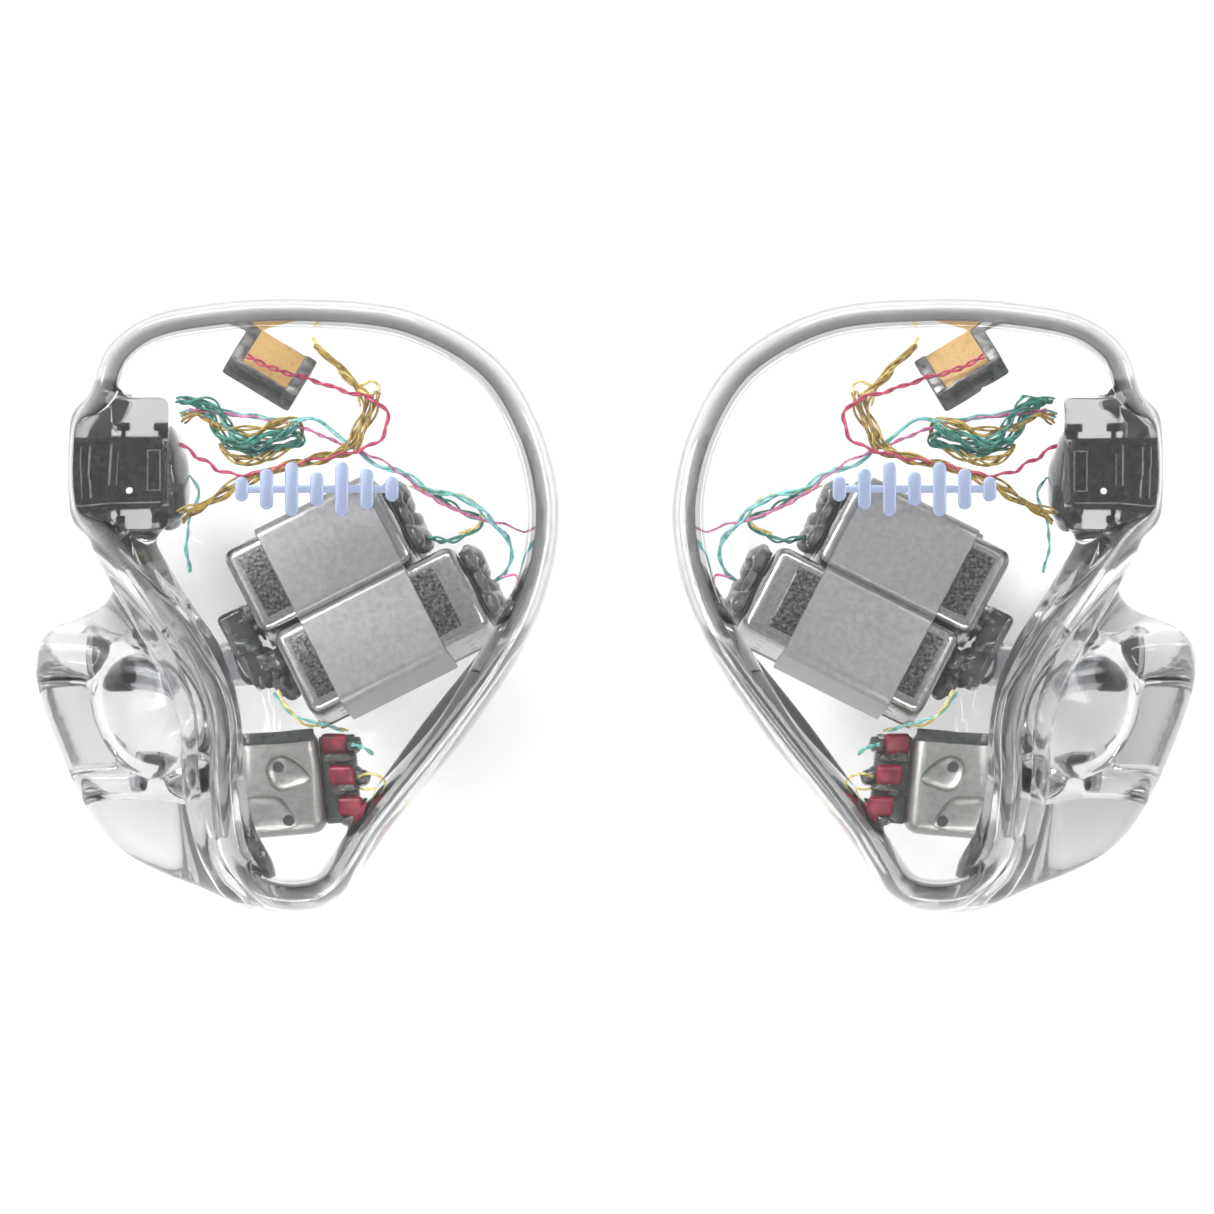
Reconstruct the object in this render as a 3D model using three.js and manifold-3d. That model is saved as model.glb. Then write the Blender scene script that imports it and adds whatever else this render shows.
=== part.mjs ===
// A pair of custom-moulded in-ear monitors, lying with their faceplates up.
// Millimetres, +Z up. X runs across the pair and the origin is the middle of its base.
// Every piece is made once in the left monitor's own frame, and the right one is its mirror image.
import * as THREE from "three";
import { mergeVertices } from "three/addons/utils/BufferGeometryUtils.js";
import Module from "manifold-3d";

const wasm = await Module();
wasm.setup();

// ---- Driving dimensions ----
const CENTRE_X = 13.13; // from the pair's middle to each monitor's own origin
const GAP = 0.05; // between pieces that are glued or slid together

// Body: plan outline (counterclockwise), and how it shrinks from the rim down to the flat base
const OUTLINE = [
  [-0.4, 13.6], [-4.6, 13.42], [-7.8, 12.7], [-9.5, 11.3], [-10.2, 9.3], [-10.78, 8.3],
  [-10.78, 3.9], [-9.7, 2.4], [-8.0, 0.0], [-6.2, -2.7], [-5.25, -4.9], [-5.15, -8.2],
  [-4.6, -11.4], [-3.0, -13.15], [-0.9, -13.6], [0.9, -13.05], [3.1, -10.0], [6.7, -5.6],
  [9.4, -1.3], [10.5, 1.8], [10.72, 4.6], [9.9, 7.9], [8.0, 10.9], [4.2, 13.05],
];
const AROUND = 42; // points on each ring of the body
const RIM_Z = 13.4;
const RIM_INSET = 0.6; // the edge rounds over from the upper wall into the faceplate
const BODY_LEVELS = [ // [height, scale, inset]
  [RIM_Z, 1, RIM_INSET], [12.2, 1, 0.25], [10.2, 1, 0], [7.2, 0.985, 0], [4.8, 0.935, 0],
  [2.7, 0.85, 0], [1.1, 0.72, 0], [0.25, 0.56, 0], [0, 0.44, 0],
];
const TAPER_CENTRE = [1.2, 1.0]; // the body shrinks towards this point
const WALL = 1.05;
const FLOOR_Z = 1.2;
const CAVITY_FLOOR = [[FLOOR_Z + 0.4, 0.7, 0], [FLOOR_Z, 0.6, 0]]; // the cavity's lowest rings
const FACEPLATE_TOP = 15.0;
const FACEPLATE_EDGE = [ // [height, inset]
  [FACEPLATE_TOP, 2.3], [14.8, 1.66], [14.4, 1.2], [13.95, 0.87], [RIM_Z + GAP, RIM_INSET + 0.02],
];

// Canal: its flat tip and the sections behind it, as [distance, up, down, half height]
const TIP = new THREE.Vector3(-11.1, -6.0, 3.6);
const TIP_NORMAL = new THREE.Vector3(-0.86, -0.345, -0.376).normalize();
const CANAL_SECTIONS = [
  [0, 3.8, 4.1, 2.2], [0.35, 4.25, 5.1, 2.75], [1.1, 4.7, 6.2, 3.1],
  [3.5, 4.95, 8.5, 3.7], [6.3, 5.5, 10.2, 4.3], [8.5, 4.8, 10.0, 4.3],
];
const CANAL_POCKET = [[2.1, 0.7, 0.7, 0.6], [2.4, 1.7, 1.7, 1.4], [3.6, 2.7, 2.9, 2.1], [9.0, 3.4, 4.5, 2.8]];
const CANAL_AROUND = 24;
const CANAL_SQUARENESS = 0.8; // below 1 the sections' oval is fuller at its corners

// Sound tubes: the bores lie on the same paths, and end on the tip
const BORE_DIRECTION = new THREE.Vector3(0.925, 0.02, 0.38).normalize(); // from the tip inwards
const LOW_BORE = { offset: -2.9, radius: 1.06, start: 3.1 };
const HIGH_BORE = { offset: 1.7, radius: 0.78, start: 2.9 };
const LOW_TUBE = { outer: 0.97, inner: 0.68 };
const HIGH_TUBE = { outer: 0.68, inner: 0.48 };

// Cable socket: a two-pin body in a collar, its long side along Z
const SOCKET = { x: [-10.72, -6.85], y: [4.18, 7.3], z: 8.5, height: 5.2 };
const COLLAR = { x: [-9.1, -6.6], y: [3.3, 9.0], height: 6.2 };
const LUG = { length: 0.75, rise: 0.6, height: 3.12, x: [-8.95, -7.35] };
const BOSS = { x: [-10.72, -8.4], y: [3.6, 8.5], height: 6.8 }; // the shell's wall around the collar
const PIN_SPACING = 2.3;
const PIN_HOLE = 0.78;
const SLEEVE = { outer: 1.1, setback: 0.1, floor: 0.4 }; // its open end stands back from the socket's face

// Drivers: [length, width, depth] of each can
const CAN_WALL = 0.25;
const CAN_CORNER = 0.5;
const LID = 0.3;
const SPOUT_LENGTH = 0.8;
const WOOFER_ANGLE = THREE.MathUtils.degToRad(27); // of the woofers' length, in plan
const WOOFER_LEAN = THREE.MathUtils.degToRad(-7); // about their length
const WOOFER_Z = 8.2;
const WOOFER_SPOUT = { outer: 0.62, bore: 0.38 };
const WOOFER_A = {
  size: [7.6, 4.1, 5.6], at: [0.95, 1.6], pads: [-1.2, 1.1], ledge: 0.35,
  spout: { ...WOOFER_SPOUT, y: -1.1, z: 0 },
};
const WOOFER_B = {
  size: [8.9, 4.1, 5.6], at: [1.95, -2.6], pads: [-1.1, 1.2], ledge: 0.35,
  spout: { ...WOOFER_SPOUT, y: 1.1, z: 0 },
};
const STRAP = { from: -1.1, to: 4.0, sheet: 0.2 };
const STRAP_FOOT = { overhang: 0.2, start: 1.4, beyond: 0.9, thick: 0.3 };
const TWEETER_ANGLE = THREE.MathUtils.degToRad(5);
const TWEETER = {
  size: [3.9, 4.6, 3.8], at: [-1.85, -7.95], z: 8.4, pads: [-1.3, 0.1, 1.5], ledge: 1.5,
  spout: { outer: 0.42, bore: 0.25, y: 0.4, z: -1 },
  vents: [[0.13, 0.74], [0.38, -1.65]], // through the top; its cover is one with its case
};
const VENT_RADIUS = 0.24;
// Inside each driver, as shares of the can's length, width or depth
const MOTOR = { from: -0.12, to: 0.3, top: 0.24, depth: 0.62, slotDepth: 0.5 };
const ARMATURE = { reedDepth: 0.4, diaphragmY: 0.34, diaphragmDepth: 0.7 };
const REED = 0.2; // thickness
const SLOT = 0.7; // the motor's gap around the reed
const DRIVE_ROD = { from: 0.1, width: 0.25, depth: 0.3 };
const DIAPHRAGM = 0.12; // thickness
const BOARD = { width: 0.8, depth: 0.62 }; // shares of the can's width and depth

const CAPACITOR = { size: [3.3, 2.0, 1.5], at: [-2.15, 10.42, 10.9], end: 0.6, endRise: 0.06 };
const CAPACITOR_ANGLE = THREE.MathUtils.degToRad(-31);
const CAPACITOR_LEAN = THREE.MathUtils.degToRad(-33);
const WIRE_RADIUS = 0.12;
const DAMPER = { outer: 0.62, inner: 0.465, rim: 0.5, disc: 0.1, back: 0.6 };

// Emblem: rounded bars on a thin line, a plain level-meter mark
const EMBLEM = {
  centre: [0, 5.05], pitch: 1.1, bar: 0.6, line: 0.34, rise: 0.25,
  heights: [1.1, 1.8, 2.4, 1.5, 2.4, 1.8, 1.1],
};

// ---- Materials ----
const surface = (color, roughness, metalness, opacity = 1) =>
  new THREE.MeshStandardMaterial({ color, roughness, metalness, opacity, transparent: opacity < 1 });
const MATERIALS = {
  acrylic: surface(0xf2f6f8, 0.05, 0, 0.3),
  emblem: surface(0xa5b4d7, 0.35, 0.7),
  socket: surface(0x1c1c1e, 0.3, 0),
  contact: surface(0xd8b45a, 0.25, 1),
  ceramic: surface(0xb9853f, 0.6, 0),
  tubing: surface(0xdfe4e6, 0.2, 0, 0.5),
  damper: surface(0x6fa36b, 0.5, 0.3),
  can: surface(0xb8bbbd, 0.25, 1),
  strap: surface(0xb4b5b6, 0.5, 1),
  magnet: surface(0x77797c, 0.45, 1),
  reed: surface(0xc9ccd0, 0.3, 1),
  board: surface(0x24272a, 0.4, 0.1),
  goldWire: surface(0xc39a2e, 0.45, 0.3),
  redWire: surface(0xb01f38, 0.45, 0.2),
  greenWire: surface(0x1f7a5c, 0.45, 0.2),
  tealWire: surface(0x5fb8ab, 0.45, 0.2),
};

// ---- Solids and geometry helpers ----
// A closed geometry as a solid that can be joined and cut.
function solid(geometry) {
  const bare = new THREE.BufferGeometry();
  bare.setAttribute("position", geometry.getAttribute("position"));
  bare.setIndex(geometry.index);
  const merged = mergeVertices(bare);
  const vertProperties = merged.getAttribute("position").array;
  const triVerts = new Uint32Array(merged.index.array);
  return new wasm.Manifold(new wasm.Mesh({ numProp: 3, vertProperties, triVerts }));
}

function geometryOf(shape) {
  const { vertProperties, triVerts } = shape.getMesh();
  const geometry = new THREE.BufferGeometry();
  geometry.setAttribute("position", new THREE.BufferAttribute(vertProperties, 3));
  geometry.setIndex(new THREE.BufferAttribute(triVerts, 1));
  geometry.computeVertexNormals();
  return geometry;
}

const join = (first, ...others) => others.reduce((all, one) => all.add(one), first);
const box = (dx, dy, dz, x = 0, y = 0, z = 0) => solid(new THREE.BoxGeometry(dx, dy, dz).translate(x, y, z));

// A box between two X values and two Y values, centred on z.
const span = (xs, ys, dz, z) =>
  box(xs[1] - xs[0], ys[1] - ys[0], dz, (xs[0] + xs[1]) / 2, (ys[0] + ys[1]) / 2, z);

// A cylinder along X from x0 to x1.
const barX = (radius, x0, x1, y, z, sides = 14) =>
  solid(
    new THREE.CylinderGeometry(radius, radius, x1 - x0, sides)
      .rotateZ(Math.PI / 2)
      .translate((x0 + x1) / 2, y, z),
  );

function roundedRectangle(width, height, radius, shape = new THREE.Shape()) {
  const [x, y] = [width / 2 - radius, height / 2 - radius];
  shape.absarc(x, y, radius, 0, Math.PI / 2);
  shape.absarc(-x, y, radius, Math.PI / 2, Math.PI);
  shape.absarc(-x, -y, radius, Math.PI, 1.5 * Math.PI);
  shape.absarc(x, -y, radius, 1.5 * Math.PI, 2 * Math.PI);
  return shape;
}

// A block with rounded upright edges, from z0 to z1.
const slab = (width, height, radius, z0, z1) =>
  solid(
    new THREE.ExtrudeGeometry(roundedRectangle(width, height, radius), {
      depth: z1 - z0,
      bevelEnabled: false,
      curveSegments: 2,
    }).translate(0, 0, z0),
  );

// The outline's points, moved in by inset, at height z and shrunk towards the taper's centre.
const outlineCurve = new THREE.CatmullRomCurve3(OUTLINE.map(([x, y]) => new THREE.Vector3(x, y, 0)), true);
const outlinePoints = outlineCurve.getSpacedPoints(AROUND).slice(0, AROUND);
function bodyRing(z, scale, inset = 0) {
  const [cx, cy] = TAPER_CENTRE;
  return outlinePoints.map((p, i) => {
    const before = outlinePoints.at(i - 1);
    const after = outlinePoints[(i + 1) % AROUND];
    const along = after.clone().sub(before).normalize();
    const x = cx + (p.x - cx) * scale - along.y * inset;
    const y = cy + (p.y - cy) * scale + along.x * inset;
    return new THREE.Vector3(x, y, z);
  });
}

// A section across the canal, at a distance behind the tip's plane.
const ACROSS = new THREE.Vector3(-TIP_NORMAL.y, TIP_NORMAL.x, 0).normalize();
const UPWARD = new THREE.Vector3().crossVectors(TIP_NORMAL, ACROSS);
function canalRing([distance, up, down, halfHeight]) {
  const points = [];
  for (let i = 0; i < CANAL_AROUND; i++) {
    const turn = (2 * Math.PI * i) / CANAL_AROUND;
    const reach = Math.cos(turn) > 0 ? down : up;
    const across = Math.sign(Math.cos(turn)) * Math.abs(Math.cos(turn)) ** CANAL_SQUARENESS * reach;
    const rise = Math.sign(Math.sin(turn)) * Math.abs(Math.sin(turn)) ** CANAL_SQUARENESS * halfHeight;
    points.push(
      TIP.clone()
        .addScaledVector(TIP_NORMAL, -distance)
        .addScaledVector(ACROSS, across)
        .addScaledVector(UPWARD, rise),
    );
  }
  return points;
}

// A closed skin over rings of equally many points. The first and last ring are capped at their middles.
// The rings run counterclockwise for someone who looks from the first ring towards the last.
function loft(rings) {
  const around = rings[0].length;
  const sphere = new THREE.SphereGeometry(1, around, rings.length + 1);
  const position = sphere.getAttribute("position");
  const middle = (ring) => ring.reduce((sum, p) => sum.add(p), new THREE.Vector3()).divideScalar(around);
  const [firstCap, lastCap] = [middle(rings[0]), middle(rings.at(-1))];
  for (let row = 0; row <= rings.length + 1; row++) {
    for (let column = 0; column <= around; column++) {
      let p = lastCap;
      if (row === 0) p = firstCap;
      else if (row <= rings.length) p = rings[row - 1][column % around];
      position.setXYZ(row * (around + 1) + column, p.x, p.y, p.z);
    }
  }
  return solid(sphere);
}

// A round tube or rod that follows points.
function alongPath(points, radius, steps, bore = 0, corners = 4) {
  const circle = new THREE.Shape().absarc(0, 0, radius, 0, 2 * Math.PI);
  if (bore > 0) circle.holes.push(new THREE.Path().absarc(0, 0, bore, 0, 2 * Math.PI, true));
  const extrudePath = new THREE.CatmullRomCurve3(points);
  return solid(new THREE.ExtrudeGeometry(circle, { steps, extrudePath, curveSegments: corners }));
}

// ---- Frames of the turned groups, in the monitor's frame ----
const wooferFrame = new THREE.Matrix4()
  .makeTranslation(0, 0, WOOFER_Z)
  .multiply(new THREE.Matrix4().makeRotationZ(WOOFER_ANGLE))
  .multiply(new THREE.Matrix4().makeRotationX(WOOFER_LEAN));
const tweeterFrame = new THREE.Matrix4()
  .makeTranslation(...TWEETER.at, TWEETER.z)
  .multiply(new THREE.Matrix4().makeRotationZ(TWEETER_ANGLE));
const capacitorFrame = new THREE.Matrix4()
  .makeTranslation(...CAPACITOR.at)
  .multiply(new THREE.Matrix4().makeRotationZ(CAPACITOR_ANGLE))
  .multiply(new THREE.Matrix4().makeRotationX(CAPACITOR_LEAN));

// ---- Sound path ----
const onTip = (offset) => TIP.clone().addScaledVector(ACROSS, offset);
const boreEntry = ({ offset, start }) => onTip(offset).addScaledVector(BORE_DIRECTION, start);
const BOOT = { x: [-4.2, -3.1], y: [-2.2, 1.4], height: 2.0 }; // in the woofers' frame
const CHAMBER = { x: [-3.9, -3.3], y: [-1.8, 0.8], height: 1.3 }; // where the two spouts meet in the boot
const bootPoint = new THREE.Vector3(BOOT.x[0] + 0.3, -0.9, 0).applyMatrix4(wooferFrame);
const lowPath = [
  boreEntry(LOW_BORE),
  boreEntry(LOW_BORE).addScaledVector(BORE_DIRECTION, 2.0),
  new THREE.Vector3(-5.4, -2.75, 6.6),
  bootPoint,
];
const beforeTweeter = (distance) => {
  const { size, spout } = TWEETER;
  return new THREE.Vector3(-size[0] / 2 - distance, spout.y, spout.z).applyMatrix4(tweeterFrame);
};
const highPath = [
  boreEntry(HIGH_BORE),
  boreEntry(HIGH_BORE).addScaledVector(BORE_DIRECTION, 1.0),
  beforeTweeter(1.2),
  beforeTweeter(0.15),
];
const fromTip = (bore, path) => [onTip(bore.offset).addScaledVector(BORE_DIRECTION, -1.5), ...path];

// ---- Pieces of the shell ----
function socketEnvelope(gap) {
  const grow = ([a, b]) => [a - gap, b + gap];
  const body = span(grow(SOCKET.x), grow(SOCKET.y), SOCKET.height + 2 * gap, SOCKET.z);
  const lugY = [SOCKET.y[0] - LUG.rise, SOCKET.y[1] + LUG.rise];
  const lugs = LUG.x.map((x) =>
    span(grow([x, x + LUG.length]), grow(lugY), LUG.height + 2 * gap, SOCKET.z),
  );
  return join(body, ...lugs);
}

const collarBlock = (gap) =>
  span(
    [COLLAR.x[0] - gap, COLLAR.x[1] + gap],
    [COLLAR.y[0] - gap, COLLAR.y[1] + gap],
    COLLAR.height + 2 * gap,
    SOCKET.z,
  );

function shell() {
  const body = loft(BODY_LEVELS.map((level) => bodyRing(...level)));
  const canal = loft(CANAL_SECTIONS.map(canalRing));
  const boss = span(BOSS.x, BOSS.y, BOSS.height, SOCKET.z);
  const cavityLevels = [[RIM_Z + 1, 1, RIM_INSET], ...BODY_LEVELS.slice(0, 6), ...CAVITY_FLOOR];
  const cavity = loft(cavityLevels.map(([z, scale, inset]) => bodyRing(z, scale, inset + WALL)));
  const beyondSocket = span([SOCKET.x[0] - 2, SOCKET.x[0]], COLLAR.y, RIM_Z + 1, RIM_Z / 2);
  return join(body, canal, boss)
    .subtract(beyondSocket)
    .subtract(cavity)
    .subtract(loft(CANAL_POCKET.map(canalRing)))
    .subtract(collarBlock(GAP))
    .subtract(socketEnvelope(GAP))
    .subtract(alongPath(fromTip(LOW_BORE, lowPath), LOW_BORE.radius, 12, 0, 6))
    .subtract(alongPath(fromTip(HIGH_BORE, highPath), HIGH_BORE.radius, 12, 0, 5));
}

const faceplate = () => loft(FACEPLATE_EDGE.map(([z, inset]) => bodyRing(z, 1, inset)));

function emblem() {
  const [cx, cy] = EMBLEM.centre;
  const top = FACEPLATE_TOP + GAP;
  const middle = (EMBLEM.heights.length - 1) / 2;
  const upright = (width, height, x) => {
    const outline = roundedRectangle(width, height, width / 2 - 0.01);
    const options = { depth: EMBLEM.rise, bevelEnabled: false, curveSegments: 1 };
    return solid(new THREE.ExtrudeGeometry(outline, options).translate(cx + x, cy, top));
  };
  const bars = EMBLEM.heights.map((height, i) => upright(EMBLEM.bar, height, (i - middle) * EMBLEM.pitch));
  const length = 2 * middle * EMBLEM.pitch;
  const line = box(length, EMBLEM.line, EMBLEM.rise, cx, cy, top + EMBLEM.rise / 2);
  return join(line, ...bars);
}

// ---- Cable socket ----
const pinZ = (side) => SOCKET.z + (side * PIN_SPACING) / 2;
const socketMiddleY = (SOCKET.y[0] + SOCKET.y[1]) / 2;
const pinHoleX = [SOCKET.x[0], SOCKET.x[1] - SLEEVE.floor];

const socketCollar = () => collarBlock(0).subtract(socketEnvelope(GAP));

function socketBody() {
  const sleeveHoles = [-1, 1].map((side) =>
    barX(SLEEVE.outer / 2 + GAP, pinHoleX[0] - 1, pinHoleX[1] + GAP, socketMiddleY, pinZ(side)),
  );
  return sleeveHoles.reduce((body, hole) => body.subtract(hole), socketEnvelope(0));
}

const socketSleeve = (side) =>
  barX(SLEEVE.outer / 2, pinHoleX[0] + SLEEVE.setback, pinHoleX[1], socketMiddleY, pinZ(side)).subtract(
    barX(PIN_HOLE / 2, pinHoleX[0] - 1, pinHoleX[1] - SLEEVE.floor, socketMiddleY, pinZ(side)),
  );

// ---- Drivers, each about its can's middle: length X, width Y, depth Z ----
function driverCase({ size: [length, width, depth], spout, vents }) {
  const top = depth / 2;
  const bottom = vents ? -top : -top + LID + GAP;
  const pocketFloor = vents ? bottom + CAN_WALL : bottom - 1; // a can with a lid is open at its bottom
  const end = -length / 2;
  const pipe = barX(spout.outer, end - SPOUT_LENGTH, end + 0.1, spout.y, spout.z, 10);
  const pocketSize = [length - 2 * CAN_WALL, width - 2 * CAN_WALL];
  const pocket = slab(...pocketSize, CAN_CORNER - CAN_WALL, pocketFloor, top - CAN_WALL);
  const hollow = join(slab(length, width, CAN_CORNER, bottom, top), pipe)
    .subtract(pocket)
    .subtract(barX(spout.bore, end - 1, end + 1, spout.y, spout.z, 8));
  return (vents ?? []).reduce((made, [x, y]) => made.subtract(ventHole(x, y, top)), hollow);
}

function ventHole(x, y, top) {
  const drill = new THREE.CylinderGeometry(VENT_RADIUS, VENT_RADIUS, 1, 10);
  return solid(drill.rotateX(Math.PI / 2).translate(x, y, top));
}

const driverLid = ({ size: [length, width, depth] }) =>
  slab(length, width, CAN_CORNER, -depth / 2, -depth / 2 + LID);

// Two magnets and a coil in one block, with a slot along X for the reed. It stands on the can's -Y wall.
function driverMotor({ size: [length, width, depth] }) {
  const base = -width / 2 + CAN_WALL + GAP;
  const ends = [length * MOTOR.from, length * MOTOR.to];
  const block = span(ends, [base, width * MOTOR.top], depth * MOTOR.depth, 0);
  return block.subtract(box(length, SLOT, depth * MOTOR.slotDepth));
}

// The reed with its drive rod and diaphragm, which turn as one about the reed's root.
const reedRoot = (length) => length / 2 - CAN_WALL - 0.1;
function driverArmature({ size: [length, width, depth] }) {
  const tip = -length / 2 + CAN_WALL + 0.5;
  const root = reedRoot(length);
  const diaphragmY = width * ARMATURE.diaphragmY;
  const rodX = [tip + DRIVE_ROD.from, tip + DRIVE_ROD.from + DRIVE_ROD.width];
  const reed = span([tip, root], [-REED / 2, REED / 2], depth * ARMATURE.reedDepth, 0);
  const rod = span(rodX, [0, diaphragmY], DRIVE_ROD.depth, 0);
  const diaphragmFaces = [diaphragmY - DIAPHRAGM / 2, diaphragmY + DIAPHRAGM / 2];
  return join(reed, rod, span([tip, root - 0.3], diaphragmFaces, depth * ARMATURE.diaphragmDepth, 0));
}

// A terminal board on the can's +X end. The solder domes stand on a thin board's face, or on a
// thick one's top.
function driverTerminals({ size: [length, width, depth], pads, ledge }) {
  const face = length / 2 + GAP;
  const height = depth * BOARD.depth;
  const boardY = (width * BOARD.width) / 2;
  const board = span([face, face + ledge], [-boardY, boardY], height, 0);
  const onTop = ledge > 1;
  const [domeX, domeZ] = onTop ? [face + ledge / 2, height / 2] : [face + ledge, depth * 0.15];
  const domes = pads.map((y) => {
    const dome = new THREE.SphereGeometry(1, 8, 6);
    if (onTop) dome.scale(0.45, 0.5, 0.25);
    else dome.scale(0.6, 0.75, 0.9);
    return solid(dome.translate(domeX + (onTop ? 0 : 0.25), y, domeZ));
  });
  return join(board, ...domes).subtract(box(2, width * 2, depth * 2, face - 1, 0, 0));
}

// The strap runs round both woofers, and its foot is bonded to the shell's floor.
function driverStrap() {
  const depth = WOOFER_A.size[2] + 2 * GAP;
  const v = [
    WOOFER_B.at[1] - WOOFER_B.size[1] / 2 - GAP,
    WOOFER_A.at[1] + WOOFER_A.size[1] / 2 + GAP,
  ];
  const u = [STRAP.from, STRAP.to];
  const outer = span(u, [v[0] - STRAP.sheet, v[1] + STRAP.sheet], depth + 2 * STRAP.sheet, 0);
  const { overhang, start, beyond, thick } = STRAP_FOOT;
  const footZ = -depth / 2 - STRAP.sheet - thick / 3;
  const foot = span([u[0] - overhang, u[1] + overhang], [v[0] + start, v[1] + beyond], thick, footZ);
  return join(outer, foot).subtract(span([u[0] - 1, u[1] + 1], v, depth, 0));
}

// ---- Crossover, tubes and wires ----
function capacitor() {
  const [length, width, height] = CAPACITOR.size;
  const rise = 2 * CAPACITOR.endRise;
  const end = (side) => box(CAPACITOR.end, width + rise, height + rise, side * (length / 2 - 0.25));
  return join(box(length, width, height), end(-1), end(1));
}

// One tube serves both woofers: a boot closes over their spouts.
function lowTube() {
  const inFrame = (shape) => solid(geometryOf(shape).applyMatrix4(wooferFrame));
  const boot = inFrame(span(BOOT.x, BOOT.y, BOOT.height, 0));
  const chamber = inFrame(span(CHAMBER.x, CHAMBER.y, CHAMBER.height, 0));
  const spoutRoom = [WOOFER_A, WOOFER_B].map(({ size, at, spout }) => {
    const canEnd = at[0] - size[0] / 2;
    return inFrame(barX(spout.outer + GAP, BOOT.x[0] + 0.2, canEnd + 1, at[1] + spout.y, spout.z, 10));
  });
  return join(alongPath(lowPath, LOW_TUBE.outer, 8, 0, 6), boot)
    .subtract(join(chamber, ...spoutRoom))
    .subtract(alongPath(fromTip(LOW_BORE, lowPath), LOW_TUBE.inner, 12, 0, 5));
}

const highTube = () => alongPath(highPath, HIGH_TUBE.outer, 8, HIGH_TUBE.inner, 5);

// A short cup across the low tube with a woven disc in it.
function damper() {
  const { outer, inner, rim, disc, back } = DAMPER;
  const end = rim + disc + back;
  const profile = [[0, rim], [inner, rim], [inner, 0], [outer, 0], [outer, end], [inner, end]];
  const behindDisc = [[inner, rim + disc], [0, rim + disc]];
  const points = [...profile, ...behindDisc].map(([x, y]) => new THREE.Vector2(x, y));
  const along = new THREE.Quaternion().setFromUnitVectors(new THREE.Vector3(0, 1, 0), BORE_DIRECTION);
  const start = boreEntry(LOW_BORE).addScaledVector(BORE_DIRECTION, 0.15);
  return solid(new THREE.LatheGeometry(points, 12).applyQuaternion(along).translate(...start.toArray()));
}

const WIRE_ROUTES = {
  gold: [
    [-0.1, 11.3, 11.7], [0.55, 10.8, 12.1], [1.33, 9.96, 12.3], [2.1, 9.05, 12.4], [1.87, 7.95, 12.5],
    [0.9, 6.75, 12.6], [-0.9, 6.3, 12.55], [-3.1, 5.5, 12.2], [-4.7, 4.5, 11.4], [-5.95, 3.55, 10.6],
  ],
  red: [
    [-3.1, 10.9, 12.35], [-2.0, 10.35, 12.4], [-0.45, 9.9, 12.3], [1.2, 9.35, 12.75], [2.5, 9.0, 12.9],
    [3.2, 8.3, 12.95], [2.9, 7.3, 13.0], [1.4, 6.6, 13.05], [-0.9, 6.2, 13.0], [-2.6, 5.75, 12.7],
    [-3.9, 5.8, 12.1], [-5.1, 6.3, 11.3], [-6.1, 7.0, 10.6],
  ],
  green: [
    [-6.2, 8.6, 9.7], [-5.5, 8.75, 10.4], [-4.9, 8.4, 11.0], [-4.4, 7.6, 11.3], [-3.5, 6.9, 11.5],
    [-2.4, 7.1, 11.6], [-1.0, 7.5, 11.6], [0.6, 7.6, 11.5], [2.4, 7.0, 11.4], [3.9, 5.9, 11.3],
    [5.0, 4.8, 11.0], [5.3, 3.9, 10.2], [5.0, 3.4, 9.4],
  ],
  teal: [
    [-6.1, 5.0, 9.2], [-5.2, 4.9, 9.7], [-4.6, 5.6, 10.2], [-3.6, 7.2, 10.3], [-1.4, 7.95, 10.5],
    [0.8, 7.9, 11.1], [3.0, 7.2, 12.2], [5.0, 5.6, 12.3], [6.9, 4.3, 12.1], [8.3, 3.0, 11.6],
    [8.55, 1.9, 10.6], [8.3, 1.3, 9.7],
  ],
};

function wire(route) {
  const points = route.map((p) => new THREE.Vector3(...p));
  return alongPath(points, WIRE_RADIUS, 2 * (points.length - 1), 0, 3);
}

// ---- Assembly ----
function placed(frame, ...children) {
  const group = new THREE.Group();
  group.applyMatrix4(frame);
  group.add(...children);
  return group;
}

const pieceShapes = new Map(); // both monitors share each piece's geometry
function piece(side, name, material, build) {
  if (!pieceShapes.has(name)) pieceShapes.set(name, geometryOf(build()));
  const mesh = new THREE.Mesh(pieceShapes.get(name), MATERIALS[material].clone());
  mesh.name = side + "_" + name;
  return mesh;
}

function driver(side, name, facts) {
  const group = new THREE.Group();
  group.add(
    piece(side, name + "_case", "can", () => driverCase(facts)),
    piece(side, name + "_motor", "magnet", () => driverMotor(facts)),
    piece(side, name + "_armature", "reed", () => driverArmature(facts)),
    piece(side, name + "_terminals", "board", () => driverTerminals(facts)),
  );
  return group;
}

function woofer(side, name, facts) {
  const group = driver(side, name, facts);
  group.add(piece(side, name + "_lid", "can", () => driverLid(facts)));
  group.position.set(...facts.at, 0);
  return group;
}

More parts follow.
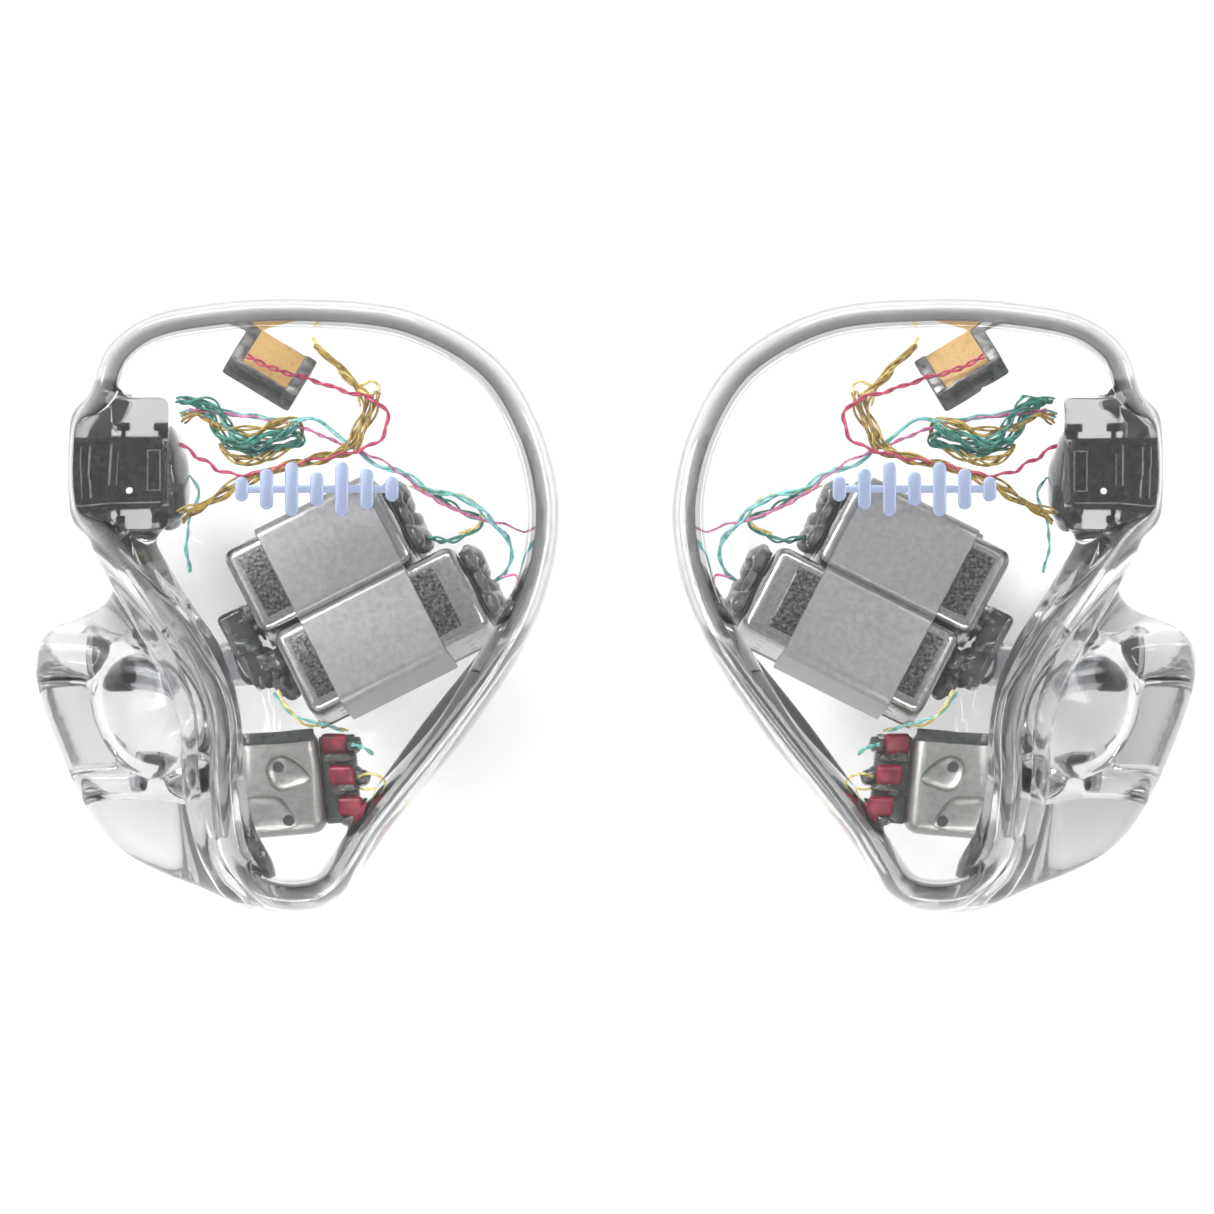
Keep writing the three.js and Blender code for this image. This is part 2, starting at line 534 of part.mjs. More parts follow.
function monitor(side) {
  const group = new THREE.Group();
  group.add(
    piece(side, "shell", "acrylic", shell),
    piece(side, "faceplate", "acrylic", faceplate),
    piece(side, "emblem", "emblem", emblem),
    piece(side, "socket_collar", "acrylic", socketCollar),
    piece(side, "socket_body", "socket", socketBody),
    piece(side, "socket_sleeve_a", "contact", () => socketSleeve(-1)),
    piece(side, "socket_sleeve_b", "contact", () => socketSleeve(1)),
    piece(side, "low_tube", "tubing", lowTube),
    piece(side, "high_tube", "tubing", highTube),
    piece(side, "low_damper", "damper", damper),
    placed(capacitorFrame, piece(side, "capacitor", "ceramic", capacitor)),
    placed(
      wooferFrame,
      woofer(side, "woofer_a", WOOFER_A),
      woofer(side, "woofer_b", WOOFER_B),
      piece(side, "driver_strap", "strap", driverStrap),
    ),
    placed(tweeterFrame, driver(side, "tweeter", TWEETER)),
  );
  for (const [colour, route] of Object.entries(WIRE_ROUTES)) {
    group.add(piece(side, "wire_" + colour, colour + "Wire", () => wire(route)));
  }
  return group;
}

const pair = new THREE.Group();
const left = monitor("left");
left.position.x = -CENTRE_X;
const right = monitor("right");
right.position.x = CENTRE_X;
right.scale.x = -1;
pair.add(left, right);

export default pair;
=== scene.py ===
"""Looks for a pair of clear custom-moulded in-ear monitors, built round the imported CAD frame.

Lengths are millimetres in the left monitor's own frame until a mesh is placed. Each piece is made
once and placed twice: as it is on the left, and mirrored on the right.
"""

import math

import bmesh
import bpy
import numpy as np
import openvdb
from mathutils import Matrix, Vector


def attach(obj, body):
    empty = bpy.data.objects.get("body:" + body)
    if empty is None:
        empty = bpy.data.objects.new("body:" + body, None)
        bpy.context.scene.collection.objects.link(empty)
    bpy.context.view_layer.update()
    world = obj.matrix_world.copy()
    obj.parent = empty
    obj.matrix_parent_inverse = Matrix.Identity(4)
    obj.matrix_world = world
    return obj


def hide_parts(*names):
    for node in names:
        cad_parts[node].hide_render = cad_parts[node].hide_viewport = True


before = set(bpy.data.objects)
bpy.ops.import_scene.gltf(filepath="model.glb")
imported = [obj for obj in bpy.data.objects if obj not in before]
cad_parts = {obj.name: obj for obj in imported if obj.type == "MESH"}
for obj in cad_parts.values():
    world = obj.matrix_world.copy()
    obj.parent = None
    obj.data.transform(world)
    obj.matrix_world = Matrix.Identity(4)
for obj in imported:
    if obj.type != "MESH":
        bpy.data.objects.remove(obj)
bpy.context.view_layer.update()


def unit(*vector):
    return np.array(vector) / np.linalg.norm(vector)


def rotated(degrees, axis):
    return Matrix.Rotation(math.radians(degrees), 4, axis)


def add_object(name, data):
    made = bpy.data.objects.new(name, data)
    bpy.context.scene.collection.objects.link(made)
    return made


shifted = Matrix.Translation
IDENTITY = Matrix.Identity(4)

# ---- Dimensions in mm, most of them shared with the CAD part ----
CENTRE_X = 13.13
OUTLINE = [
    (-0.4, 13.6), (-4.6, 13.42), (-7.8, 12.7), (-9.5, 11.3), (-10.2, 9.3), (-10.78, 8.3),
    (-10.78, 3.9), (-9.7, 2.4), (-8.0, 0.0), (-6.2, -2.7), (-5.25, -4.9), (-5.15, -8.2),
    (-4.6, -11.4), (-3.0, -13.15), (-0.9, -13.6), (0.9, -13.05), (3.1, -10.0), (6.7, -5.6),
    (9.4, -1.3), (10.5, 1.8), (10.72, 4.6), (9.9, 7.9), (8.0, 10.9), (4.2, 13.05),
]
RIM_Z = 13.4
FACEPLATE_TOP = 15.0
BODY_LEVELS = [  # height, scale of the outline, inset
    (RIM_Z, 1, 0.407), (12.4, 1, 0.178), (11.5, 1, 0.06), (10.4, 1, 0.003), (8.8, 0.997, 0),
    (7.2, 0.985, 0), (4.8, 0.935, 0), (2.7, 0.85, 0), (1.1, 0.72, 0), (0.25, 0.56, 0), (0, 0.44, 0),
]
TAPER_CENTRE = (1.2, 1.0)
WALL = 1.05
TIP = np.array([-11.1, -6.0, 3.6])
TIP_NORMAL = unit(-0.86, -0.345, -0.376)
CANAL_SECTIONS = [  # distance from the tip, reach up and down across it, half height
    (0, 4.1, 4.3, 2.3), (0.35, 4.7, 5.3, 2.85), (1.1, 5.0, 6.4, 3.2),
    (3.5, 4.95, 8.5, 3.7), (6.3, 5.5, 10.2, 4.3), (8.5, 4.8, 10.0, 4.3),
]
CANAL_POCKET = [
    (2.1, 0.7, 0.7, 0.6), (2.4, 1.7, 1.7, 1.4), (3.6, 2.7, 2.9, 2.1), (9.0, 3.4, 4.5, 2.8),
]
RIDGE = [
    (-8.4, 2.3, 11.0), (-7.0, -0.1, 11.6), (-5.45, -2.7, 11.9), (-4.75, -5.1, 12.0),
    (-4.6, -8.0, 12.0), (-3.95, -10.6, 11.8), (-3.3, -11.8, 11.3),
]
RIDGE_RADIUS = 1.4
FACET = [(8.3, -2.7, 11.4), (5.6, -6.0, 11.4), (2.8, -10.0, 11.4), (1.7, -11.6, 11.3)]
FACET_RADIUS = 1.3
BORE_DIRECTION = unit(0.925, 0.02, 0.38)
LOW_BORE = {"offset": -3.55, "radius": 1.06, "start": 3.1}
HIGH_BORE = {"offset": 1.7, "radius": 0.78, "start": 2.9}
LOW_TUBE = (0.97, 0.68)  # outer and inner radius
HIGH_TUBE = (0.68, 0.48)
SOCKET = {"x": (-10.72, -6.85), "y": (4.18, 7.3), "z": 8.5, "height": 5.2}
COLLAR = {"x": (-9.1, -6.6), "y": (3.3, 9.0), "height": 6.2}
BOSS = {"x": (-10.72, -8.4), "y": (3.6, 8.5), "height": 6.8}
LUG = {"length": 0.75, "rise": 0.6, "height": 3.12, "x": (-8.95, -7.35)}
PIN_SPACING = 2.3
SLEEVE_OUTER = 1.1
WOOFER_FRAME = shifted((0, 0, 8.2)) @ rotated(27, "Z") @ rotated(-7, "X")
WOOFER_A = {"size": (7.6, 4.1, 5.6), "at": (0.95, 1.6), "pads": (-1.2, 1.1), "spout": (-1.1, 0)}
WOOFER_B = {"size": (8.9, 4.1, 5.6), "at": (1.95, -2.6), "pads": (-1.1, 1.2), "spout": (1.1, 0)}
TWEETER = {"size": (3.9, 4.6, 3.8), "pads": (-1.3, 0.1, 1.5), "spout": (0.4, -1)}
VENTS = ((0.13, 0.74), (0.38, -1.65))
TWEETER_FRAME = shifted((-1.85, -7.95, 8.4)) @ rotated(5, "Z")
CAPACITOR_SIZE = (3.3, 2.0, 1.5)
CAPACITOR_FRAME = shifted((-2.15, 10.42, 10.9)) @ rotated(-31, "Z") @ rotated(-33, "X")

# ---- Dimensions of the visual model only, in mm ----
EDGE_START = 10.2  # the faceplate's rounding is part of an ellipse that starts at this height
EDGE_INSET = 1.6
SQUARE_Y, SQUARE_HALF, SQUARE_FADE = 6.0, 1.7, 2.2  # where the faceplate's edge stays square
SQUARE_SHARE = 0.8
FLOOR_Z = 1.2
BOND = 0.05  # the shell's acrylic reaches this far into the collar and the socket
VOXEL = 0.2

ACROSS = unit(-TIP_NORMAL[1], TIP_NORMAL[0], 0)
UPWARD = np.cross(TIP_NORMAL, ACROSS)
LEFT_PLACE = shifted((-CENTRE_X / 1000, 0, 0)) @ Matrix.Diagonal((0.001, 0.001, 0.001, 1))
RIGHT_PLACE = Matrix.Diagonal((-1, 1, 1, 1)) @ LEFT_PLACE


# ---- Materials ----
def new_material(name):
    """A new material, its nodes and its Principled shader."""
    made = bpy.data.materials.new(name)
    made.use_nodes = True
    return made, made.node_tree, made.node_tree.nodes["Principled BSDF"]


def feed(shader, **inputs):
    """Gives each input of a node its value, or links it to another node's output."""
    for key, value in inputs.items():
        socket = shader.inputs[key.replace("_", " ")]
        if isinstance(value, bpy.types.NodeSocket):
            shader.id_data.links.new(value, socket)
        else:
            socket.default_value = value
    return shader


def node(tree, kind, **inputs):
    return feed(tree.nodes.new(kind), **inputs)


def noise(tree, scale, detail=3.0, roughness=0.55, stretch=None):
    """Noise with scale in cycles per metre, drawn out along an axis by stretch."""
    place = node(tree, "ShaderNodeTexCoord").outputs["Object"]
    if stretch:
        place = node(tree, "ShaderNodeMapping", Scale=stretch, Vector=place).outputs["Vector"]
    made = node(
        tree, "ShaderNodeTexNoise", Scale=scale, Detail=detail, Roughness=roughness, Vector=place
    )
    return made.outputs["Fac"]


def ramp(tree, source, stops):
    made = node(tree, "ShaderNodeValToRGB", Fac=source)
    elements = made.color_ramp.elements
    while len(elements) < len(stops):
        elements.new(0.5)
    for element, (position, colour) in zip(elements, stops):
        element.position = position
        element.color = (*colour, 1)
    return made.outputs["Color"]


def grey(value):
    return (value, value, value)


def evenly(colours):
    """Ramp stops for colours, spread over the middle of a noise's range."""
    low, span = 0.3, 0.4
    return [(low + span * i / (len(colours) - 1), colour) for i, colour in enumerate(colours)]


def bump(tree, height, strength, distance):
    made = node(tree, "ShaderNodeBump", Strength=strength, Distance=distance, Height=height)
    return made.outputs["Normal"]


def surface(
    name, colours, roughness, scale, metallic=0.0, stretch=None, bump_um=4.0, detail=4.0, **sockets
):
    """A surface whose colour runs between colours and whose roughness varies over the same noise."""
    made, tree, principled = new_material(name)
    source = noise(tree, scale, detail, 0.6, stretch)
    feed(
        principled, Base_Color=ramp(tree, source, evenly(colours)), Metallic=metallic,
        Roughness=ramp(tree, source, evenly([grey(value) for value in roughness])),
        Normal=bump(tree, source, 0.6, bump_um * 1e-6), **sockets,
    )
    return made


def clear(name, colour, roughness, ior, waviness_um, scale, density=0.0, edge_painted_shade=None):
    """Clear plastic, greyer where it is thick. Shadow rays pass it, so lamps light what is inside.

    The edge ramp stops run over the steepness of the surface, from upright at 0 to level at 1.
    They paint shade into the colour: the plastic is greyed where its surface is steep.
    """
    made, tree, principled = new_material(name)
    waves = bump(tree, noise(tree, scale, 1.5), 0.5, waviness_um * 1e-6)
    feed(
        principled, Base_Color=(*colour, 1), Roughness=roughness, IOR=ior, Transmission_Weight=1.0,
        Normal=waves,
    )
    # Painted shade: the colour is darkened where the surface is steep, not where the plastic is thick.
    if edge_painted_shade:
        normal = node(tree, "ShaderNodeNewGeometry").outputs["Normal"]
        split = node(tree, "ShaderNodeSeparateXYZ", Vector=normal)
        level = node(tree, "ShaderNodeMath", Value=split.outputs["Z"])
        level.operation = "ABSOLUTE"
        feed(principled, Base_Color=ramp(tree, level.outputs[0], edge_painted_shade))
    is_shadow = node(tree, "ShaderNodeLightPath").outputs["Is Shadow Ray"]
    through = node(tree, "ShaderNodeBsdfTransparent", Color=(*grey(0.97), 1))
    mix = node(tree, "ShaderNodeMixShader")
    for socket, source in zip(mix.inputs, (is_shadow, principled.outputs[0], through.outputs[0])):
        tree.links.new(source, socket)
    output = feed(tree.nodes["Material Output"], Surface=mix.outputs[0])
    if density:
        absorption = node(tree, "ShaderNodeVolumeAbsorption", Color=(0, 0, 0, 1), Density=density)
        feed(output, Volume=absorption.outputs[0])
    return made


ACRYLIC = clear("clear_acrylic", grey(0.985), 0.08, 1.49, 5.0, 260, density=68)
# Painted shade for the grey band round the faceplate's rounded edge: darker where the surface is
# steeper.
EDGE_PAINTED_SHADE = ((0.2, 0.8), (0.45, 0.42), (0.85, 0.34), (0.95, 0.5), (0.995, 0.99))
FACEPLATE_ACRYLIC = clear(
    "faceplate_acrylic", grey(0.99), 0.0, 1.49, 2.0, 200, density=16,
    edge_painted_shade=[(level, grey(painted_grey)) for level, painted_grey in EDGE_PAINTED_SHADE],
)
# The collar is bonded into the shell's acrylic, so light hardly bends where it enters.
COLLAR_ACRYLIC = clear("collar_acrylic", grey(0.97), 0.0, 1.06, 3.0, 700)


# ---- Meshes ----
def mesh_from(vertices, faces):
    made = bpy.data.meshes.new("piece")
    made.from_pydata([tuple(v) for v in vertices], [], faces)
    made.validate()
    return made


def both(name, made, material, replaces=(), local=IDENTITY, smooth=40):
    """Places a mesh on the left monitor and its mirror image on the right one.

    Faces that meet at less than smooth degrees are shaded as one surface.
    """
    materials = material if isinstance(material, list) else [material]
    for side, world in (("left", LEFT_PLACE), ("right", RIGHT_PLACE)):
        data = made.copy()
        data.transform(world @ local)
        if side == "right":
            data.flip_normals()
        data.shade_smooth()
        if smooth < 180:
            data.set_sharp_from_angle(angle=math.radians(smooth))
        # Slots that a cut left behind are filled: clearing them would reset the faces' slots.
        for index, one in enumerate(materials):
            if index < len(data.materials):
                data.materials[index] = one
            else:
                data.materials.append(one)
        piece = add_object(f"{side}_{name}_piece", data)
        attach(piece, f"{side}_monitor")
        if replaces:
            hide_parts(*[f"{side}_{n}" for n in replaces])
    bpy.data.meshes.remove(made)


def spline(points, count, closed=False):
    """Points evenly spaced along a centripetal Catmull-Rom curve through the given ones."""
    knots = np.array(points, float)
    if closed:
        knots = np.vstack([knots[-1:], knots, knots[:2]])
    else:
        knots = np.vstack([2 * knots[0] - knots[1], knots, 2 * knots[-1] - knots[-2]])
    dense = []
    for p0, p1, p2, p3 in zip(knots, knots[1:], knots[2:], knots[3:]):
        steps = [max(np.linalg.norm(b - a) ** 0.5, 1e-6) for a, b in ((p0, p1), (p1, p2), (p2, p3))]
        t0, t1 = 0.0, steps[0]
        t2, t3 = t1 + steps[1], t1 + steps[1] + steps[2]
        t = np.linspace(t1, t2, 24, endpoint=False)[:, None]

        def mix(a, b, start, end):
            return (end - t) / (end - start) * a + (t - start) / (end - start) * b

        middle = mix(p1, p2, t1, t2)
        before = mix(mix(p0, p1, t0, t1), middle, t0, t2)
        after = mix(middle, mix(p2, p3, t2, t3), t1, t3)
        dense.append(mix(before, after, t1, t2))
    dense = np.vstack(dense + [knots[-2:-1]])
    length = np.concatenate([[0], np.cumsum(np.linalg.norm(np.diff(dense, axis=0), axis=1))])
    wanted = np.linspace(0, length[-1], count + 1 if closed else count)
    out = np.column_stack([np.interp(wanted, length, column) for column in dense.T])
    return out[:-1] if closed else out


def skin(rings):
    """Vertices and faces of a closed skin over rings of equally many points, with two flat caps."""
    around = len(rings[0])
    vertices = np.vstack(rings)
    faces = []
    for r in range(len(rings) - 1):
        for i in range(around):
            j = (i + 1) % around
            a, b = r * around, (r + 1) * around
            faces.append((a + i, b + i, b + j, a + j))
    faces.append(tuple(range(around)))
    faces.append(tuple(reversed(range((len(rings) - 1) * around, len(rings) * around))))
    return vertices, faces


def angles(count):
    """Angles evenly spaced round one turn."""
    return np.linspace(0, 2 * np.pi, count, endpoint=False)


def flat_ring(plan, z):
    return np.column_stack([plan, np.full(len(plan), z)])


def inward(ring):
    """Unit vectors that point to the inside of an outline that runs anticlockwise."""
    along = np.roll(ring, -1, axis=0) - np.roll(ring, 1, axis=0)
    along /= np.linalg.norm(along, axis=1)[:, None]
    return np.column_stack([-along[:, 1], along[:, 0]])


OUTLINE_RING = spline(OUTLINE, 240, closed=True)


def squareness(ring):
    """1 over the socket, where the faceplate's edge stays square, and 0 away from it."""
    beyond = np.abs(ring[:, 1] - SQUARE_Y) - SQUARE_HALF
    near = np.clip(1 - beyond / SQUARE_FADE, 0, 1) * (ring[:, 0] < -5)
    return near * near * (3 - 2 * near)


def body_ring(z, scale, inset):
    plan = np.array(TAPER_CENTRE) + (OUTLINE_RING - TAPER_CENTRE) * scale
    reach = inset * (1 - SQUARE_SHARE * squareness(OUTLINE_RING))
    return flat_ring(plan + reach[:, None] * inward(OUTLINE_RING), z)


def canal_ring(distance, up, down, half_height):
    turn = angles(72)
    c, s = np.cos(turn), np.sin(turn)
    across = np.sign(c) * np.abs(c) ** 0.8 * np.where(c > 0, down, up)
    rise = np.sign(s) * np.abs(s) ** 0.8 * half_height
    centre = TIP - TIP_NORMAL * distance
    return centre + across[:, None] * ACROSS + rise[:, None] * UPWARD


# ---- Distance fields on one grid round the left monitor ----
GRID_LOW = np.array([-14.6, -15.4, -1.6])
GRID_COUNT = np.array([138, 152, 84])
AXES = [GRID_LOW[k] + VOXEL * np.arange(GRID_COUNT[k]) for k in range(3)]
GRID = GX, GY, GZ = np.meshgrid(*AXES, indexing="ij")
HALF_WIDTH = 18  # voxels each side of a skin that hold a true distance
FAR, MARGIN = 4.0, 2.4  # distance given to what lies further than the margin from a rod


def field_of(rings):
    """Signed distance to the skin over rings, negative inside."""
    vertices, faces = skin(rings)
    quads = [face for face in faces if len(face) == 4]
    caps = [face for face in faces if len(face) > 4]
    triangles = [(cap[0], cap[i], cap[i + 1]) for cap in caps for i in range(1, len(cap) - 1)]
    grid = openvdb.FloatGrid.createLevelSetFromPolygons(
        (vertices - GRID_LOW).astype(np.float32),
        triangles=np.array(triangles, np.uint32),
        quads=np.array(quads, np.uint32),
        transform=openvdb.createLinearTransform(voxelSize=VOXEL),
        halfWidth=HALF_WIDTH,
    )
    out = np.empty(tuple(GRID_COUNT), np.float32)
    grid.copyToArray(out, ijk=(0, 0, 0))
    return out


def smooth_min(a, b, width):
    share = np.clip(0.5 + 0.5 * (b - a) / width, 0, 1)
    return b + (a - b) * share - width * share * (1 - share)


def smooth_max(a, b, width):
    return -smooth_min(-a, -b, width)


def along_field(points, radius):
    """Distance to a round rod that follows points."""
    out = np.full(GX.shape, FAR, np.float32)
    for a, b in zip(points[:-1], points[1:]):
        low = np.floor((np.minimum(a, b) - radius - MARGIN - GRID_LOW) / VOXEL).astype(int).clip(0)
        high = np.ceil((np.maximum(a, b) + radius + MARGIN - GRID_LOW) / VOXEL).astype(int)
        part = tuple(slice(l, h) for l, h in zip(low, np.minimum(high, GRID_COUNT)))
        rel = [g[part] - a[k] for k, g in enumerate(GRID)]
        d = b - a
        t = np.clip(sum(r * d[k] for k, r in enumerate(rel)) / (d @ d), 0, 1)
        distance = np.sqrt(sum((r - t * d[k]) ** 2 for k, r in enumerate(rel))) - radius
        out[part] = np.minimum(out[part], distance)
    return out


def box_field(xs, ys, zs, rounding):
    """Distance to a box with rounded edges."""
    q = [
        np.abs(g - (lo + hi) / 2) - (hi - lo) / 2 + rounding for g, (lo, hi) in zip(GRID, (xs, ys, zs))
    ]
    outside = np.sqrt(sum(np.maximum(one, 0) ** 2 for one in q))
    return outside + np.minimum(np.maximum(q[0], np.maximum(q[1], q[2])), 0) - rounding


def mesh_of(field):
    """The skin where field is zero, with its points moved onto it in three cautious steps."""
    grid = openvdb.FloatGrid()
    grid.background = 3.0
    grid.copyFromArray(field.astype(np.float32))
    grid.transform = openvdb.createLinearTransform(voxelSize=VOXEL)
    points, quads = grid.convertToQuads(isovalue=0.0)
    gradient = np.gradient(field, VOXEL)
    for _ in range(3):
        at = points / VOXEL
        value = sample(field, at)
        slope = np.column_stack([sample(g, at) for g in gradient])
        size = np.maximum((slope ** 2).sum(1), 0.25)
        points = points - (0.7 * value / size)[:, None] * slope
    return mesh_from(points + GRID_LOW, [tuple(q)[::-1] for q in quads.tolist()])


def sample(field, at):
    """Values of field between grid points."""
    base = np.clip(np.floor(at).astype(int), 0, np.array(field.shape) - 2)
    part = at - base
    out = 0.0
    for corner in range(8):
        step = np.array([corner & 1, corner >> 1 & 1, corner >> 2 & 1])
        weight = np.prod(np.where(step, part, 1 - part), axis=1)
        i, j, k = (base + step).T
        out = out + weight * field[i, j, k]
    return out


# ---- Sound paths ----
def on_tip(offset):
    return TIP + ACROSS * offset


def bore_entry(bore):
    return on_tip(bore["offset"]) + BORE_DIRECTION * bore["start"]


def in_frame(matrix, point):
    return np.array(matrix @ Vector(point))


LOW_PATH = [
    bore_entry(LOW_BORE),
    bore_entry(LOW_BORE) + BORE_DIRECTION * 2.0,
    np.array([-5.4, -2.75, 6.6]),
    in_frame(WOOFER_FRAME, (-3.9, -0.9, 0)),
]


def before_tweeter(distance):
    y, z = TWEETER["spout"]
    return in_frame(TWEETER_FRAME, (-TWEETER["size"][0] / 2 - distance, y, z))


HIGH_PATH = [
    bore_entry(HIGH_BORE),
    bore_entry(HIGH_BORE) + BORE_DIRECTION,
    before_tweeter(1.2),
    before_tweeter(0.15),
]


def bore_field(bore, path):
    """Distance to the bore along path. It starts outside the tip, which it goes right through."""
    outside = on_tip(bore["offset"]) - BORE_DIRECTION * 1.5
    return along_field(spline([outside, *path], 30), bore["radius"])


def smooth_levels(count):
    """The body's levels on one smooth curve, from above the rim down to the base."""
    above = [(RIM_Z + 4, 1, 3.4), (RIM_Z + 1.6, 1, 1.35), (RIM_Z + 0.8, 1, 0.72)]
    table = spline([(z, s * 10, inset) for z, s, inset in above + BODY_LEVELS], count)
    return [(z, s / 10, inset) for z, s, inset in table]


def softened(field, passes):
    """The field with its creases rounded."""
    for _ in range(passes):
        for axis in range(3):
            edge = np.concatenate([field.take([0], axis), field, field.take([-1], axis)], axis)
            size = field.shape[axis]
            field = (
                edge.take(range(size), axis) + 2 * field + edge.take(range(2, size + 2), axis)
            ) / 4
    return field


def build_shell():
    """The hollow cup with its solid canal, cut flat at the rim where the faceplate is glued on."""
    centre = SOCKET["z"]
    body = field_of([body_ring(*level) for level in smooth_levels(70)])
    canal, pocket = [
        softened(field_of([canal_ring(*row) for row in spline(rows, count)]), 14)
        for rows, count in ((CANAL_SECTIONS, 30), (CANAL_POCKET, 24))
    ]
    half = BOSS["height"] / 2
    boss = box_field(BOSS["x"], BOSS["y"], (centre - half, centre + half), 0.5)
    ridge = along_field(spline(RIDGE, 40), RIDGE_RADIUS)
    facet = along_field(spline(FACET, 20), FACET_RADIUS)
    outer = smooth_min(smooth_min(body, canal, 2.2), smooth_min(boss, ridge, 0.4), 0.9)
    cavity = smooth_min(smooth_max(body + WALL, FLOOR_Z - GZ, 0.8), pocket, 1.2)
    (x0, x1), (y0, y1) = COLLAR["x"], COLLAR["y"]
    bottom = centre - COLLAR["height"] / 2 - BOND
    seat = box_field((x0 - 2, x1 + BOND), (y0 - BOND, y1 + BOND), (bottom, RIM_Z + 2), 0.35)
    cavity = smooth_max(smooth_max(cavity, -seat, 0.5), -np.minimum(ridge, facet), 0.9)
    y0, y1 = SOCKET["y"]
    half = SOCKET["height"] / 2
    hole = box_field(
        (-14, 0), (y0 + BOND, y1 - BOND), (centre - half + BOND, centre + half - BOND), 0.15
    )
    shell = np.maximum(smooth_max(outer, -cavity, 0.25), -hole)
    for bore, path in ((LOW_BORE, LOW_PATH), (HIGH_BORE, HIGH_PATH)):
        shell = smooth_max(shell, -bore_field(bore, path), 0.25)
    spare = 0.9  # left above the rim, and then cut off flat
    made = mesh_of(np.maximum(shell, GZ - RIM_Z - spare))
    work = bmesh.new()
    work.from_mesh(made)
    opened = bmesh.ops.bisect_plane(
        work, geom=work.verts[:] + work.edges[:] + work.faces[:], plane_co=(0, 0, RIM_Z),
        plane_no=(0, 0, 1), clear_outer=True, dist=1e-4,
    )
    rim = [e for e in opened["geom_cut"] if isinstance(e, bmesh.types.BMEdge)]
    bmesh.ops.triangle_fill(work, edges=rim, normal=(0, 0, 1), use_beauty=True)
    bmesh.ops.recalc_face_normals(work, faces=work.faces[:])
    work.to_mesh(made)
    work.free()
    both("acrylic_shell", made, ACRYLIC, replaces=["shell"], smooth=50)


def build_faceplate():
    """The glued-on plate, with its edge rounded over."""
    rounding = FACEPLATE_TOP - EDGE_START
    start = math.asin((RIM_Z + 0.01 - EDGE_START) / rounding)
    edge = [(RIM_Z - 0.02, 0.43)] + [
        (EDGE_START + rounding * math.sin(turn), EDGE_INSET * (1 - math.cos(turn)))
        for turn in np.linspace(start, 0.5 * math.pi, 18)
    ]
    made = mesh_from(*skin([body_ring(z, 1, inset) for z, inset in reversed(edge)]))
    both("acrylic_faceplate", made, FACEPLATE_ACRYLIC, replaces=["faceplate"], smooth=35)


# ---- Solid work pieces ----
def join_rings(part, rings, closed=False):
    """Joins rings of vertices with quads, and the last ring with the first one if closed."""
    for a, b in zip(rings, rings[1:] + rings[:1] if closed else rings[1:]):
        for i in range(len(a)):
            j = (i + 1) % len(a)
            part.faces.new((a[i], a[j], b[j], b[i]))


def circle(part, centre, radius, normal, tangent, sides):
    """New vertices on a circle round a path with that tangent, from the normal's direction on."""
    turn = angles(sides)
    side = np.cos(turn)[:, None] * normal + np.sin(turn)[:, None] * np.cross(tangent, normal)
    return [part.verts.new(point) for point in centre + radius * side]


def tangents_of(points):
    tangents = np.gradient(points, axis=0)
    return tangents / np.linalg.norm(tangents, axis=1)[:, None]


